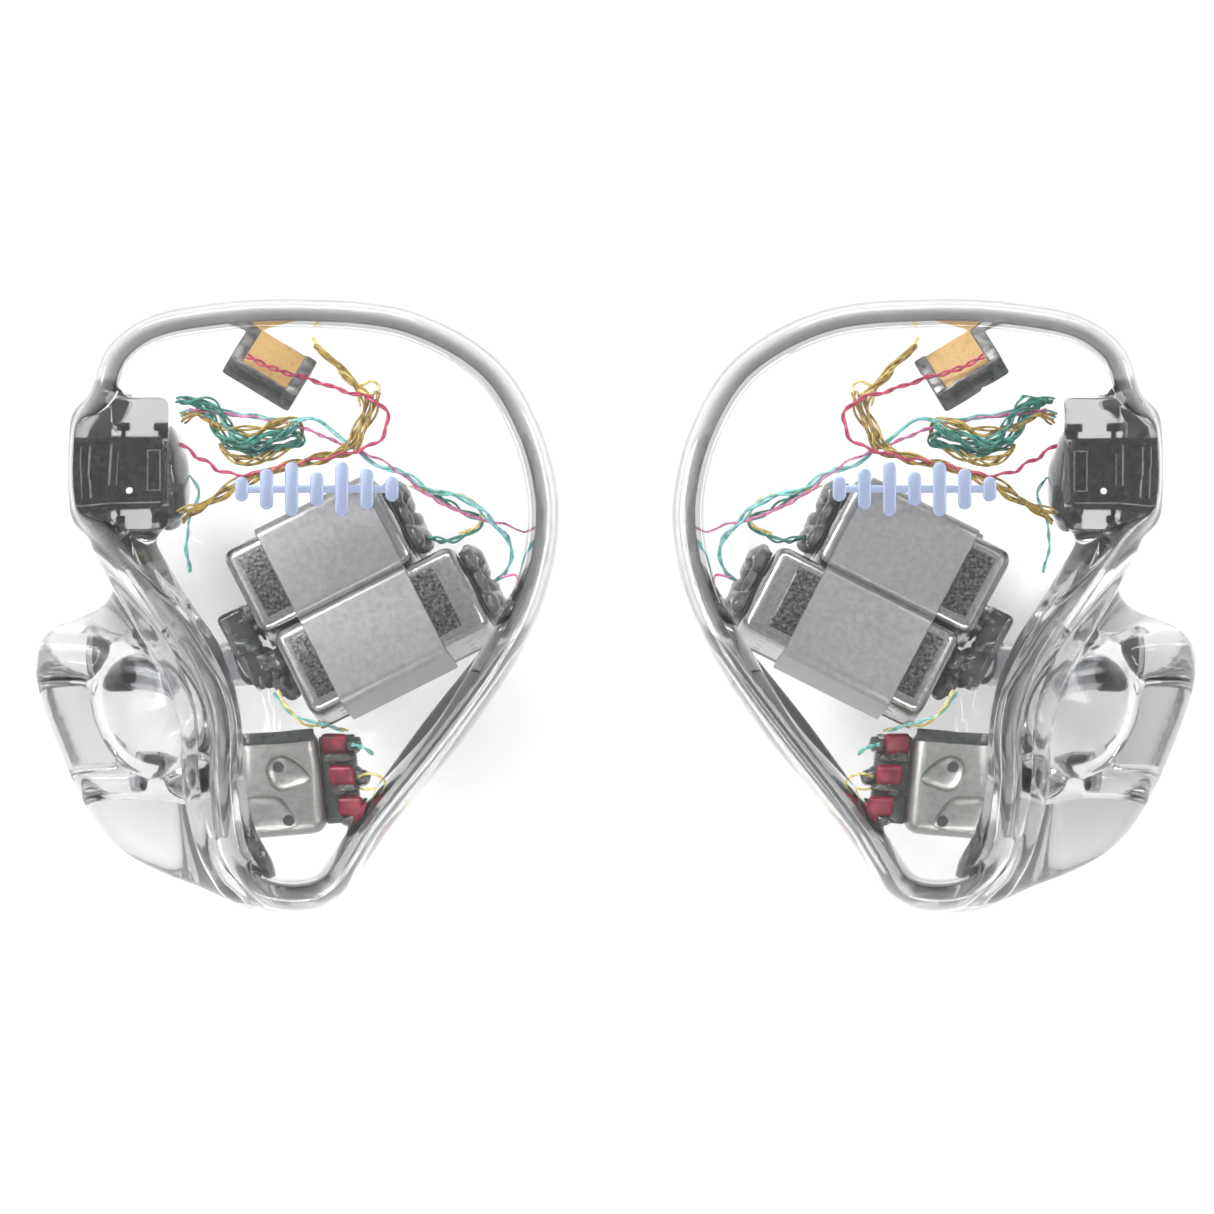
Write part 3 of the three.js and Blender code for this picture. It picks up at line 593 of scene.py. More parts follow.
class Work:
    """One mesh put together from rounded blocks, rods and lumps, in mm."""

    def __init__(self):
        self.bm = bmesh.new()

    def take(self, part, matrix=IDENTITY, slot=0):
        made = bpy.data.meshes.new("part")
        part.to_mesh(made)
        part.free()
        made.transform(matrix)
        for polygon in made.polygons:
            polygon.material_index = slot
        self.add(made)

    def add(self, made):
        """Adds a mesh, which is then removed."""
        self.bm.from_mesh(made)
        bpy.data.meshes.remove(made)

    def block(self, low, high, radius, segments=2, matrix=IDENTITY, slot=0):
        part = bmesh.new()
        bmesh.ops.create_cube(part, size=1)
        size = [h - l for l, h in zip(low, high)]
        middle = shifted([(h + l) / 2 for l, h in zip(low, high)])
        bmesh.ops.transform(part, matrix=middle @ Matrix.Diagonal((*size, 1)), verts=part.verts)
        if radius > 0:
            bmesh.ops.bevel(
                part, geom=part.edges[:], offset=radius, segments=segments, profile=0.5, affect="EDGES"
            )
        self.take(part, matrix, slot)

    def lathe(self, profile, matrix, sides):
        """Turns (radius, x) points about the X axis. The profile is closed."""
        part = bmesh.new()
        rings = [
            [part.verts.new((x, r * math.cos(turn), r * math.sin(turn))) for r, x in profile]
            for turn in (2 * math.pi * i / sides for i in range(sides))
        ]
        join_rings(part, rings, closed=True)
        bmesh.ops.remove_doubles(part, verts=part.verts, dist=1e-5)
        bmesh.ops.recalc_face_normals(part, faces=part.faces)
        self.take(part, matrix)

    def lump(self, centre, radii, seed, rough, matrix=IDENTITY, slot=0, divisions=4):
        """A blob with a gently uneven skin."""
        part = bmesh.new()
        bmesh.ops.create_icosphere(part, subdivisions=divisions, radius=1)
        for v in part.verts:
            d = v.co.normalized()
            wave = (
                math.sin(3.1 * d.x + 1.7 * seed) * math.cos(2.3 * d.y - seed)
                + 0.6 * math.sin(5.3 * d.z + 4.1 * d.x + seed)
                + 0.4 * math.cos(7.9 * d.y + 5.7 * d.z + 2 * seed)
            )
            v.co = Vector([c + r * x * (1 + rough * wave) for c, r, x in zip(centre, radii, d)])
        self.take(part, matrix, slot)

    def rod(self, points, radius, sides):
        """A round rod along points, with its ends rounded off."""
        points = np.array(points, float)
        tangents = tangents_of(points)
        normal = np.cross(tangents[0], (0, 0, 1))
        if np.linalg.norm(normal) < 1e-3:
            normal = np.cross(tangents[0], (0, 1, 0))
        part = bmesh.new()
        rings = []
        for p, t in zip(points, tangents):
            normal = normal - t * (normal @ t)
            normal /= np.linalg.norm(normal)
            rings.append(circle(part, p, radius, normal, t, sides))
        join_rings(part, rings)
        ends = (rings[0][::-1], points[0], -tangents[0]), (rings[-1], points[-1], tangents[-1])
        for ring, end, outward in ends:
            tip = part.verts.new(end + 0.6 * radius * outward)
            for i in range(sides):
                part.faces.new((ring[i], ring[(i + 1) % sides], tip))
        self.take(part)

    def mesh(self):
        made = bpy.data.meshes.new("work")
        self.bm.to_mesh(made)
        self.bm.free()
        return made


def cut_from(base, cutters):
    """The mesh that is left when the cutters are taken away from base."""
    target = add_object("target", base)
    tools = [add_object("tool", cutter) for cutter in cutters]
    for tool in tools:
        modifier = target.modifiers.new("cut", "BOOLEAN")
        modifier.operation = "DIFFERENCE"
        modifier.solver = "EXACT"
        modifier.object = tool
    bpy.context.view_layer.update()
    evaluated = target.evaluated_get(bpy.context.evaluated_depsgraph_get())
    made = bpy.data.meshes.new_from_object(evaluated)
    for one in (target, *tools):
        data = one.data
        bpy.data.objects.remove(one)
        bpy.data.meshes.remove(data)
    return made


def block_mesh(low, high, radius=0.0, segments=2):
    work = Work()
    work.block(low, high, radius, segments)
    return work.mesh()


def rod_mesh(points, radius):
    work = Work()
    work.rod(points, radius, 24)
    return work.mesh()


# ---- Finishes ----
EMBLEM_METAL = surface(
    "emblem_metal", [(0.34, 0.40, 0.58), (0.42, 0.48, 0.66)], (0.28, 0.42), 9000, 0.55,
    stretch=(1, 6, 1), bump_um=2,
)
SOCKET_BLACK = surface(
    "socket_black", [(0.004, 0.004, 0.005), (0.016, 0.016, 0.018)], (0.16, 0.34), 4000, bump_um=6,
    Specular_IOR_Level=0.22, Coat_Weight=0.12, Coat_Roughness=0.08,
)
# Lighter grey for the socket's fine ribs and strip: painted glints on the black plastic.
SOCKET_RIB_PAINTED_GLINT = surface("socket_rib_painted_glint", [grey(0.09), grey(0.24)], (0.15, 0.3), 5000, bump_um=3)
POTTING = surface(
    "potting_resin", [(0.01, 0.01, 0.011), (0.05, 0.05, 0.055)], (0.05, 0.25), 900, bump_um=30,
    Coat_Weight=0.8, Coat_Roughness=0.05,
)
CONTACT_GOLD = surface(
    "contact_gold", [(0.72, 0.5, 0.2), (0.86, 0.64, 0.3)], (0.15, 0.3), 8000, 1.0,
    stretch=(8, 1, 1), bump_um=2,
)
CAN_STEEL = surface(
    "can_steel", [(0.34, 0.34, 0.345), (0.40, 0.40, 0.405), (0.46, 0.46, 0.465)], (0.2, 0.25),
    5200, 1.0, bump_um=0.12, detail=6,
)
# Dark metal for the cans' end panels: a painted dark reflection, darker than the can's own steel.
CAN_PANEL_PAINTED_REFLECTION = surface(
    "can_panel_painted_reflection", [grey(0.035), grey(0.09), grey(0.26)], (0.24, 0.4), 7000, 1.0, bump_um=0.7, detail=10
)
STRAP_SATIN = surface(
    "strap_satin", [grey(0.25), grey(0.33)], (0.36, 0.43), 3800, 0.85, bump_um=1.4, detail=8
)
TWEETER_STEEL = surface(
    "tweeter_steel", [(0.27, 0.27, 0.26), (0.35, 0.35, 0.34)], (0.34, 0.42), 4000, 0.95,
    bump_um=0.5, detail=5,
)
MAGNET_METAL = surface(
    "magnet_metal", [(0.16, 0.165, 0.17), (0.28, 0.285, 0.29)], (0.35, 0.6), 6000, 1.0,
    stretch=(1, 9, 1), bump_um=4,
)
REED_METAL = surface(
    "reed_metal", [(0.55, 0.56, 0.58), (0.68, 0.69, 0.7)], (0.2, 0.35), 7000, 1.0,
    stretch=(9, 1, 1), bump_um=2,
)
# Dark board finish, also used for the painted shade strip on the tweeter can's top edge.
BOARD_DARK_AND_PAINTED_SHADE = surface(
    "board_dark_and_painted_shade", [(0.008, 0.011, 0.012), (0.03, 0.035, 0.03)], (0.25, 0.5), 3500, bump_um=10,
    Coat_Weight=0.4, Coat_Roughness=0.15,
)
SOLDER = surface(
    "solder", [(0.12, 0.125, 0.13), (0.34, 0.35, 0.34)], (0.15, 0.4), 2400, 0.9, bump_um=18, detail=5
)
GLUE_DARK = surface(
    "glue_dark", [grey(0.008), (0.05, 0.05, 0.045), (0.03, 0.05, 0.045)], (0.06, 0.3), 1700,
    bump_um=25, Coat_Weight=0.7, Coat_Roughness=0.06,
)
CERAMIC_TAN = surface(
    "ceramic_tan", [(0.27, 0.15, 0.045), (0.37, 0.23, 0.085), (0.32, 0.19, 0.06)], (0.4, 0.6), 2600,
    bump_um=9,
)
TINNED_END = surface(
    "tinned_end", [grey(0.08), (0.28, 0.28, 0.27)], (0.25, 0.5), 2500, 0.85, bump_um=14, detail=5
)
PAD_CRIMSON = surface(
    "pad_crimson", [(0.04, 0.0, 0.006), (0.24, 0.003, 0.03)], (0.3, 0.5), 1500, bump_um=14,
    Coat_Weight=0.05,
)
WHITE_PAINT = surface("white_paint", [grey(0.75), grey(0.85)], (0.4, 0.5), 6000, bump_um=3)
DAMPER_WEAVE = surface(
    "damper_weave", [(0.006, 0.007, 0.006), (0.05, 0.055, 0.05)], (0.35, 0.6), 12000, 0.3, bump_um=10
)
WIRE_COLOURS = {
    "gold": [(0.11, 0.065, 0.004), (0.38, 0.25, 0.03)],
    "red": [(0.18, 0.006, 0.03), (0.42, 0.025, 0.09)],
    "green": [(0.006, 0.075, 0.06), (0.03, 0.24, 0.18)],
    "teal": [(0.05, 0.22, 0.22), (0.20, 0.48, 0.45)],
    "yellow": [(0.38, 0.30, 0.06), (0.60, 0.52, 0.20)],
    "pink": [(0.25, 0.05, 0.14), (0.48, 0.15, 0.30)],
}
WIRE_FINISH = {
    colour: surface(
        f"enamel_{colour}", tones, (0.2, 0.4), 3200, 0.25, bump_um=5, Coat_Weight=0.5,
        Coat_Roughness=0.12,
    )
    for colour, tones in WIRE_COLOURS.items()
}
BOOT_GREY = surface(
    "boot_grey", [grey(0.03), grey(0.12)], (0.12, 0.28), 1500, 0.7, bump_um=20, Coat_Weight=0.6,
    Coat_Roughness=0.06,
)
TUBING = clear("clear_tubing", (0.55, 0.56, 0.58), 0.12, 1.41, 3.0, 900)


# ---- Cable socket ----
SOCKET_GROOVES = ((-10.05, 0.12), (-9.3, 0.2), (-8.75, 0.1), (-7.65, 0.16), (-7.25, 0.08))
SOCKET_RIBS = (  # low corner and high corner in plan
    ((-10.3, 4.75), (-10.25, 6.9)), ((-9.95, 4.75), (-9.87, 6.9)), ((-9.05, 5.2), (-8.99, 7.0)),
    ((-8.78, 5.2), (-8.74, 6.6)), ((-7.52, 4.95), (-7.47, 6.75)), ((-6.98, 4.95), (-6.93, 6.75)),
    ((-7.52, 4.95), (-6.93, 5.0)), ((-7.52, 6.7), (-6.93, 6.75)),
)


def build_socket():
    (x0, x1), (y0, y1), z, half = SOCKET["x"], SOCKET["y"], SOCKET["z"], SOCKET["height"] / 2
    middle_y, face, top = (y0 + y1) / 2, z + half, z + 2 * half
    cutters = []
    for hole_z in (z - PIN_SPACING / 2, z + PIN_SPACING / 2):
        route = [(x0 - 1, middle_y, hole_z), (x1 - 0.35, middle_y, hole_z)]
        cutters.append(rod_mesh(route, SLEEVE_OUTER / 2 + 0.05))
    for x, width in SOCKET_GROOVES:
        cutters.append(block_mesh((x, y0 + 0.45, face - 0.16), (x + width, y1 - 0.25, top), 0.03))
    cutters.append(block_mesh((x0 + 0.25, y0 + 0.22, face - 0.1), (x1 - 0.2, y0 + 0.3, top)))
    body = Work()
    body.add(cut_from(block_mesh((x0, y0, z - half), (x1, y1, face), 0.12, 3), cutters))
    tall, thick, short = LUG["height"] / 2, 0.34, 0.9
    for x in LUG["x"]:
        end = x + LUG["length"]
        for low, high in ((y0 - LUG["rise"], y0 + 0.05), (y1 - 0.05, y1 + LUG["rise"])):
            crown = (low, low + thick) if low < y0 else (high - thick, high)
            body.block((x + 0.1, crown[0], z - tall), (end - 0.1, crown[1], z + tall), 0.06)
            body.block((x + 0.28, low, z - short), (end - 0.28, high, z + short), 0.04, 1)
    # The ribs and the thin strip take the lighter grey of slot 1, a painted glint.
    for low, high in SOCKET_RIBS:
        body.block((*low, face - 0.02), (*high, face + 0.035), 0.012, 1, slot=1)
    body.block((x0 + 0.15, 4.42, face - 0.02), (x1 - 0.1, 4.48, face + 0.04), 0.015, 1, slot=1)
    both(
        "cable_socket", body.mesh(), [SOCKET_BLACK, SOCKET_RIB_PAINTED_GLINT], replaces=["socket_body"],
        smooth=35,
    )
    dot = Work()
    dot.lathe(
        [(0.0, -0.03), (0.12, -0.03), (0.14, 0.0), (0.12, 0.025), (0.0, 0.035)],
        shifted((-8.22, 4.98, face)) @ rotated(-90, "Y"), 20,
    )
    both("polarity_dot", dot.mesh(), WHITE_PAINT, smooth=60)
    bond, tall = 0.03, COLLAR["height"] / 2
    low, high = zip(COLLAR["x"], COLLAR["y"], (z - tall, z + tall))
    room = block_mesh((x0 - 2, y0 + bond, z - half + bond), (x1 + 2, y1 - bond, face - bond))
    both(
        "clear_socket_collar", cut_from(block_mesh(low, high, 0.28, 3), [room]), COLLAR_ACRYLIC,
        replaces=["socket_collar"], smooth=35,
    )
    dome = Work()
    dome.lump((-6.62, 5.45, 8.4), (0.95, 2.25, 2.5), 1.3, 0.05)
    both("potting_dome", dome.mesh(), POTTING, smooth=180)


# ---- Drivers ----
GLUE_LUMP = {"slot": 2, "divisions": 3}


def can_work(size, corner, lid=0.0):
    """A drawn can with rounded edges. One with a lid of that thickness has two slightly raised end
    panels in a dark metal that is a painted dark reflection.
    """
    length, width, depth = size
    bottom = -depth / 2 + (lid + 0.05 if lid else 0.0)
    work = Work()
    work.block((-length / 2, -width / 2, bottom), (length / 2, width / 2, depth / 2), corner, 5)
    if lid:
        margin, sunk, raised = 0.55, 0.2, 0.03
        side = width / 2 - margin
        # The panels take the dark metal of slot 1, a painted reflection.
        for low, high in ((-length / 2 + margin, 0.4), (0.7, length / 2 - 1.15)):
            work.block((low, -side, depth / 2 - sunk), (high, side, depth / 2 + raised), 0.1, 3, slot=1)
    return work


def add_spout(work, size, spout, radius, bore):
    """The sound outlet on the can's low end, with a collar against the can."""
    end = -size[0] / 2
    profile = [
        (bore, end - 0.8), (radius * 0.94, end - 0.8), (radius, end - 0.7), (radius, end - 0.14),
        (radius * 1.35, end - 0.1), (radius * 1.45, end + 0.02), (bore, end + 0.02),
    ]
    work.lathe(profile, shifted((0, *spout)), 28)


def build_woofer(name, facts):
    length, width, depth = facts["size"]
    local = WOOFER_FRAME @ shifted((*facts["at"], 0))
    lid_thickness = 0.3
    can = can_work(facts["size"], 0.52, lid_thickness)
    add_spout(can, facts["size"], facts["spout"], 0.62, 0.38)
    for end in (-1, 1):
        for k in (-1, 0, 1):
            at = shifted((end * length * 0.36, -width / 2 + 0.01, k * depth * 0.25))
            can.lathe([(0, -0.02), (0.16, -0.02), (0.13, 0.02), (0, 0.03)], at @ rotated(-90, "Z"), 14)
    both(
        f"{name}_can", can.mesh(), [CAN_STEEL, CAN_PANEL_PAINTED_REFLECTION], replaces=[f"{name}_case"],
        local=local, smooth=50,
    )
    lid = block_mesh(
        (-length / 2, -width / 2, -depth / 2), (length / 2, width / 2, -depth / 2 + lid_thickness), 0.08
    )
    both(f"{name}_lid_plate", lid, CAN_STEEL, replaces=[f"{name}_lid"], local=local, smooth=50)
    board = Work()
    face = length / 2 + 0.05
    half = np.array((width * 0.4, depth * 0.31))
    board.block((face, *-half), (face + 0.35, *half), 0.05, 1)
    for k, y in enumerate(facts["pads"]):
        board.lump((face + 0.5, y, depth * 0.17), (0.5, 0.66, 0.8), k + 0.4, 0.08, slot=1)
        board.lump((face + 0.34, y * 0.9, depth * 0.36), (0.34, 0.6, 0.42), k + 2.1, 0.12, **GLUE_LUMP)
        board.lump((face + 0.52, y * 0.55 + 0.2, -0.1), (0.42, 0.7, 0.9), k + 4.7, 0.14, **GLUE_LUMP)
    middle = sum(facts["pads"]) / 2
    board.lump((face + 0.3, middle, depth * 0.3), (0.3, 0.95, 0.36), 3.3, 0.14, slot=2)
    both(
        f"{name}_terminal_board", board.mesh(), [BOARD_DARK_AND_PAINTED_SHADE, SOLDER, GLUE_DARK],
        replaces=[f"{name}_terminals"], local=local, smooth=60,
    )


def build_strap():
    """One thin sheet round both cans, drawn down into the seam between them."""
    _, width, depth = WOOFER_A["size"]
    clearance, corner, notch, dip, sheet = 0.25, 0.5, 0.36, 0.3, 0.16
    low = WOOFER_B["at"][1] - width / 2 - clearance
    high = WOOFER_A["at"][1] + width / 2 + clearance
    seam = (WOOFER_A["at"][1] - width / 2 + WOOFER_B["at"][1] + width / 2) / 2
    top = depth / 2 + clearance

    def arc(cy, cz, start):
        return [
            (cy + corner * math.cos(start + a), cz + corner * math.sin(start + a))
            for a in np.linspace(0, math.pi / 2, 6)
        ]

    def dipped(sign):
        drops = [0.0, 0.03, 0.12, 0.3, 0.62, 1.0, 0.62, 0.3, 0.12, 0.03, 0.0]
        ys = np.linspace(notch, -notch, len(drops)) * sign
        return [(seam + y, sign * (top - dip * d)) for y, d in zip(ys, drops)]

    left, right, rise = low + corner, high - corner, top - corner
    loop = np.array(
        arc(right, rise, 0) + dipped(1) + arc(left, rise, math.pi / 2)
        + arc(left, -rise, math.pi) + dipped(-1) + arc(right, -rise, 1.5 * math.pi)
    )
    start, end = -1.1, 4.1
    stations = [
        (start, sheet), (start, 0.05), (start + 0.04, 0.0), (end - 0.04, 0.0), (end, 0.05),
        (end, sheet),
    ]
    part = bmesh.new()
    rings = [
        [part.verts.new((x, y, z)) for y, z in loop + amount * inward(loop)] for x, amount in stations
    ]
    join_rings(part, rings, closed=True)
    bmesh.ops.recalc_face_normals(part, faces=part.faces)
    work = Work()
    work.take(part)
    work.block((-1.3, low + 1.4, -3.35), (4.2, high + 0.6, -3.08), 0.08)
    both("driver_wrap", work.mesh(), STRAP_SATIN, ["driver_strap"], WOOFER_FRAME)


# The outlines of the recesses round the tweeter's two vents.
TEARDROP = (
    (-0.05, -0.2), (0.32, -0.32), (0.95, -0.21), (1.3, -0.08), (1.45, 0.12), (1.3, 0.45),
    (1.03, 0.78), (0.7, 1.05), (0.3, 1.23), (-0.1, 1.1), (-0.36, 0.72), (-0.3, 0.2),
)
HOLLOW = (
    (-1.3, -2.0), (0.5, -2.05), (0.7, -1.9), (0.67, -1.57), (0.41, -1.09), (0.18, -0.75),
    (0.0, -0.6), (-0.4, -0.52), (-1.2, -0.5), (-1.5, -0.8), (-1.5, -1.7),
)
DISH = (  # scale of a recess's outline at each height above the can's face
    (1.14, 0.5), (1.06, 0.02), (0.96, -0.12), (0.8, -0.22), (0.55, -0.29), (0.28, -0.33),
    (0.05, -0.34),
)


def build_tweeter():
    length, width, depth = TWEETER["size"]
    lid = depth / 2
    cutters = [rod_mesh([(x, y, 0), (x, y, depth)], 0.25) for x, y in VENTS]
    for outline in (TEARDROP, HOLLOW):
        ring = spline(outline, 60, closed=True)
        middle = ring.mean(axis=0)
        rings = [flat_ring(middle + (ring - middle) * scale, lid + rise) for scale, rise in DISH]
        cutters.append(mesh_from(*skin(rings)))
    can = Work()
    can.add(cut_from(can_work(TWEETER["size"], 0.6).mesh(), cutters))
    add_spout(can, TWEETER["size"], TWEETER["spout"], 0.42, 0.25)
    # A dark strip along the top's far edge: painted shade for the can's side face, seen at an angle.
    low = (-length / 2 + 0.15, width / 2 - 0.5, lid - 0.06)
    can.block(low, (length / 2 - 0.1, width / 2 + 0.04, lid + 0.05), 0.05, slot=1)
    both(
        "tweeter_can", can.mesh(), [TWEETER_STEEL, BOARD_DARK_AND_PAINTED_SHADE], ["tweeter_case"], TWEETER_FRAME
    )
    board = Work()
    face = length / 2 + 0.05
    top = depth * 0.31
    board.block((face, -width * 0.42, -top), (face + 1.5, width * 0.42, top), 0.06, 1)
    tilt = Matrix.Rotation(0.42, 4, "X") @ Matrix.Rotation(-0.25, 4, "Y")
    for k, y in enumerate(TWEETER["pads"]):
        x = face + 0.12 + 0.22 * (2 - k)
        at = shifted((x + 0.52, y + 0.05, top + 0.1)) @ tilt
        board.block((-0.55, -0.46, -0.25), (0.55, 0.46, 0.2), 0.14, 3, at, slot=1)
        board.lump((x + 1.25, y - 0.05, top - 0.2), (0.5, 0.42, 0.5), k + 0.9, 0.16, **GLUE_LUMP)
        board.lump((x + 0.62, y - 0.56, top), (0.62, 0.24, 0.42), k + 6.9, 0.2, **GLUE_LUMP)
    both(
        "tweeter_terminal_board", board.mesh(), [BOARD_DARK_AND_PAINTED_SHADE, PAD_CRIMSON, GLUE_DARK],
        replaces=["tweeter_terminals"], local=TWEETER_FRAME, smooth=50,
    )


# ---- Crossover ----
def build_capacitor():
    x, y, z = [size / 2 for size in CAPACITOR_SIZE]
    block = block_mesh((-x + 0.1, -y, -z), (x - 0.1, y, z), 0.07)
    both("ceramic_block", block, CERAMIC_TAN, ["capacitor"], CAPACITOR_FRAME)
    ends = Work()
    for side in (-1, 1):
        x0, x1 = sorted((side * (x + 0.05), side * (x - 0.55)))
        ends.block((x0, -y - 0.06, -z - 0.06), (x1, y + 0.06, z + 0.06), 0.12, 3)
    ends.block((-x + 0.1, -y - 0.08, -z), (x - 0.1, -y + 0.05, z), 0.04)
    ends.block((-x * 0.66, -y - 0.12, -z * 0.4), (x * 0.66, -y, z * 0.48), 0.04, slot=1)
    both(
        "ceramic_block_ends", ends.mesh(), [TINNED_END, BOARD_DARK_AND_PAINTED_SHADE],
        local=CAPACITOR_FRAME, smooth=60,
    )


# ---- Tubes ----
def tube_work(points, outer, inner):
    """An open-ended tube: its outer skin, its inner skin and the two rims."""
    tangents = tangents_of(points)
    upright = np.array([0.0, 0.0, 1.0])
    part = bmesh.new()
    rings = []
    for radius, step in ((outer, 1), (inner, -1)):
        for p, t in zip(points[::step], tangents[::step]):
            normal = upright - t * (upright @ t)
            rings.append(circle(part, p, radius, normal / np.linalg.norm(normal), t, 28))
    join_rings(part, rings, closed=True)
    bmesh.ops.recalc_face_normals(part, faces=part.faces)
    work = Work()
    work.take(part)
    return work


def damper(name, bore, radius, start, replaces=()):
    """A cup across the bore, start mm in from the tube's end."""
    at = shifted(bore_entry(bore) + BORE_DIRECTION * start)
    along_bore = Vector((1, 0, 0)).rotation_difference(Vector(BORE_DIRECTION)).to_matrix().to_4x4()
    rim = radius * 0.75
    work = Work()
    work.lathe(
        [(rim, 0), (radius, 0), (radius, 1.2), (rim, 1.2), (rim, 0.6), (0, 0.62), (0, 0.5), (rim, 0.5)],
        at @ along_bore, 28,
    )
    both(name, work.mesh(), DAMPER_WEAVE, replaces=replaces)


SPOUT_GLUE = (  # centre, radii, seed, roughness, divisions
    ((-3.15, 0.75, 0.1), (0.55, 0.66, 1.1), 0.7, 0.22, 4),
    ((-3.6, -0.5, 0.5), (0.5, 0.6, 0.8), 1.6, 0.25, 4),
    ((-2.95, -1.5, 0.45), (0.62, 0.75, 0.95), 2.2, 0.22, 4),
    ((-2.85, -2.7, 0.7), (0.45, 0.6, 0.6), 3.9, 0.22, 4),
    ((-3.5, -2.0, 0.5), (0.4, 0.4, 0.55), 5.9, 0.25, 3),
)


def build_tubes():
    low = tube_work(spline(LOW_PATH, 26), *LOW_TUBE)
    low.block((-4.2, -2.2, -1.0), (-3.1, 1.4, 1.0), 0.3, 4, WOOFER_FRAME, slot=1)
    both("low_tubing", low.mesh(), [TUBING, BOOT_GREY], replaces=["low_tube"], smooth=50)
    high = tube_work(spline(HIGH_PATH, 20), *HIGH_TUBE)
    both("high_tubing", high.mesh(), TUBING, replaces=["high_tube"], smooth=50)
    damper("low_damper_cup", LOW_BORE, 1.03, 0.35, ["low_damper"])
    damper("high_damper_cup", HIGH_BORE, 0.46, 0.5)
    glue = Work()
    for centre, radii, seed, rough, divisions in SPOUT_GLUE:
        glue.lump(centre, radii, seed, rough, WOOFER_FRAME, divisions=divisions)
    both("spout_glue", glue.mesh(), GLUE_DARK, smooth=180)
    ring = Work()
    profile = [(0.5, -0.16), (0.72, -0.16), (0.76, 0.0), (0.72, 0.16), (0.5, 0.16)]
    ring.lathe(profile, shifted(before_tweeter(0.75)), 28)
    both("tweeter_tube_ring", ring.mesh(), SOCKET_BLACK, smooth=50)


# ---- Emblem ----
def build_emblem():
    """Seven bars on a line, like a level meter: a generic mark in the place of the maker's."""
    centre_y, pitch, radius, rise, ease = 5.05, 1.1, 0.3, 0.3, 0.06
    heights = (1.1, 1.8, 2.4, 1.5, 2.4, 1.8, 1.1)
    base, top = FACEPLATE_TOP + 0.02, FACEPLATE_TOP + rise
    turn = angles(28)
    outward = np.column_stack([np.cos(turn), np.sin(turn)])
    work = Work()
    for k, height in enumerate(heights):
        ring = radius * outward + ((k - 3) * pitch, centre_y)
        ring[:, 1] += np.copysign(height / 2 - radius, np.sin(turn))
        levels = ((ease, top), (0.02, top - 0.02), (0.0, top - ease), (0.0, base))
        work.add(mesh_from(*skin([flat_ring(ring - inset * outward, z) for inset, z in levels])))
    half = 3 * pitch
    work.block((-half, centre_y - 0.17, base), (half, centre_y + 0.17, top - 0.02), 0.05)
    both("level_mark", work.mesh(), EMBLEM_METAL, replaces=["emblem"])


# ---- Wires ----
def twist(work, bundle, phase, seed):
    """Strands that wind round the bundle's route, some of them loosely."""
    route, strands, spread, radius, pitch, wander = bundle
    fine = spline(route, max(40, 12 * len(route)))
    tangents = tangents_of(fine)
    along = np.concatenate([[0], np.cumsum(np.linalg.norm(np.diff(fine, axis=0), axis=1))])
    side = np.cross(tangents, (0, 0, 1))
    side /= np.linalg.norm(side, axis=1)[:, None] + 1e-9
    up = np.cross(side, tangents)
    random = np.random.default_rng(seed)
    for k in range(strands):
        lay = pitch * random.uniform(0.85, 1.25)
        turn = 2 * math.pi * (k / strands + along / lay) + phase
        loose = wander * np.sin(along * random.uniform(0.8, 1.6) + random.uniform(0, 6))
        reach = spread * (random.uniform(0.6, 1.15) + loose)
        points = fine + (reach * np.cos(turn))[:, None] * side + (reach * np.sin(turn))[:, None] * up
        work.rod(points, radius, 7)


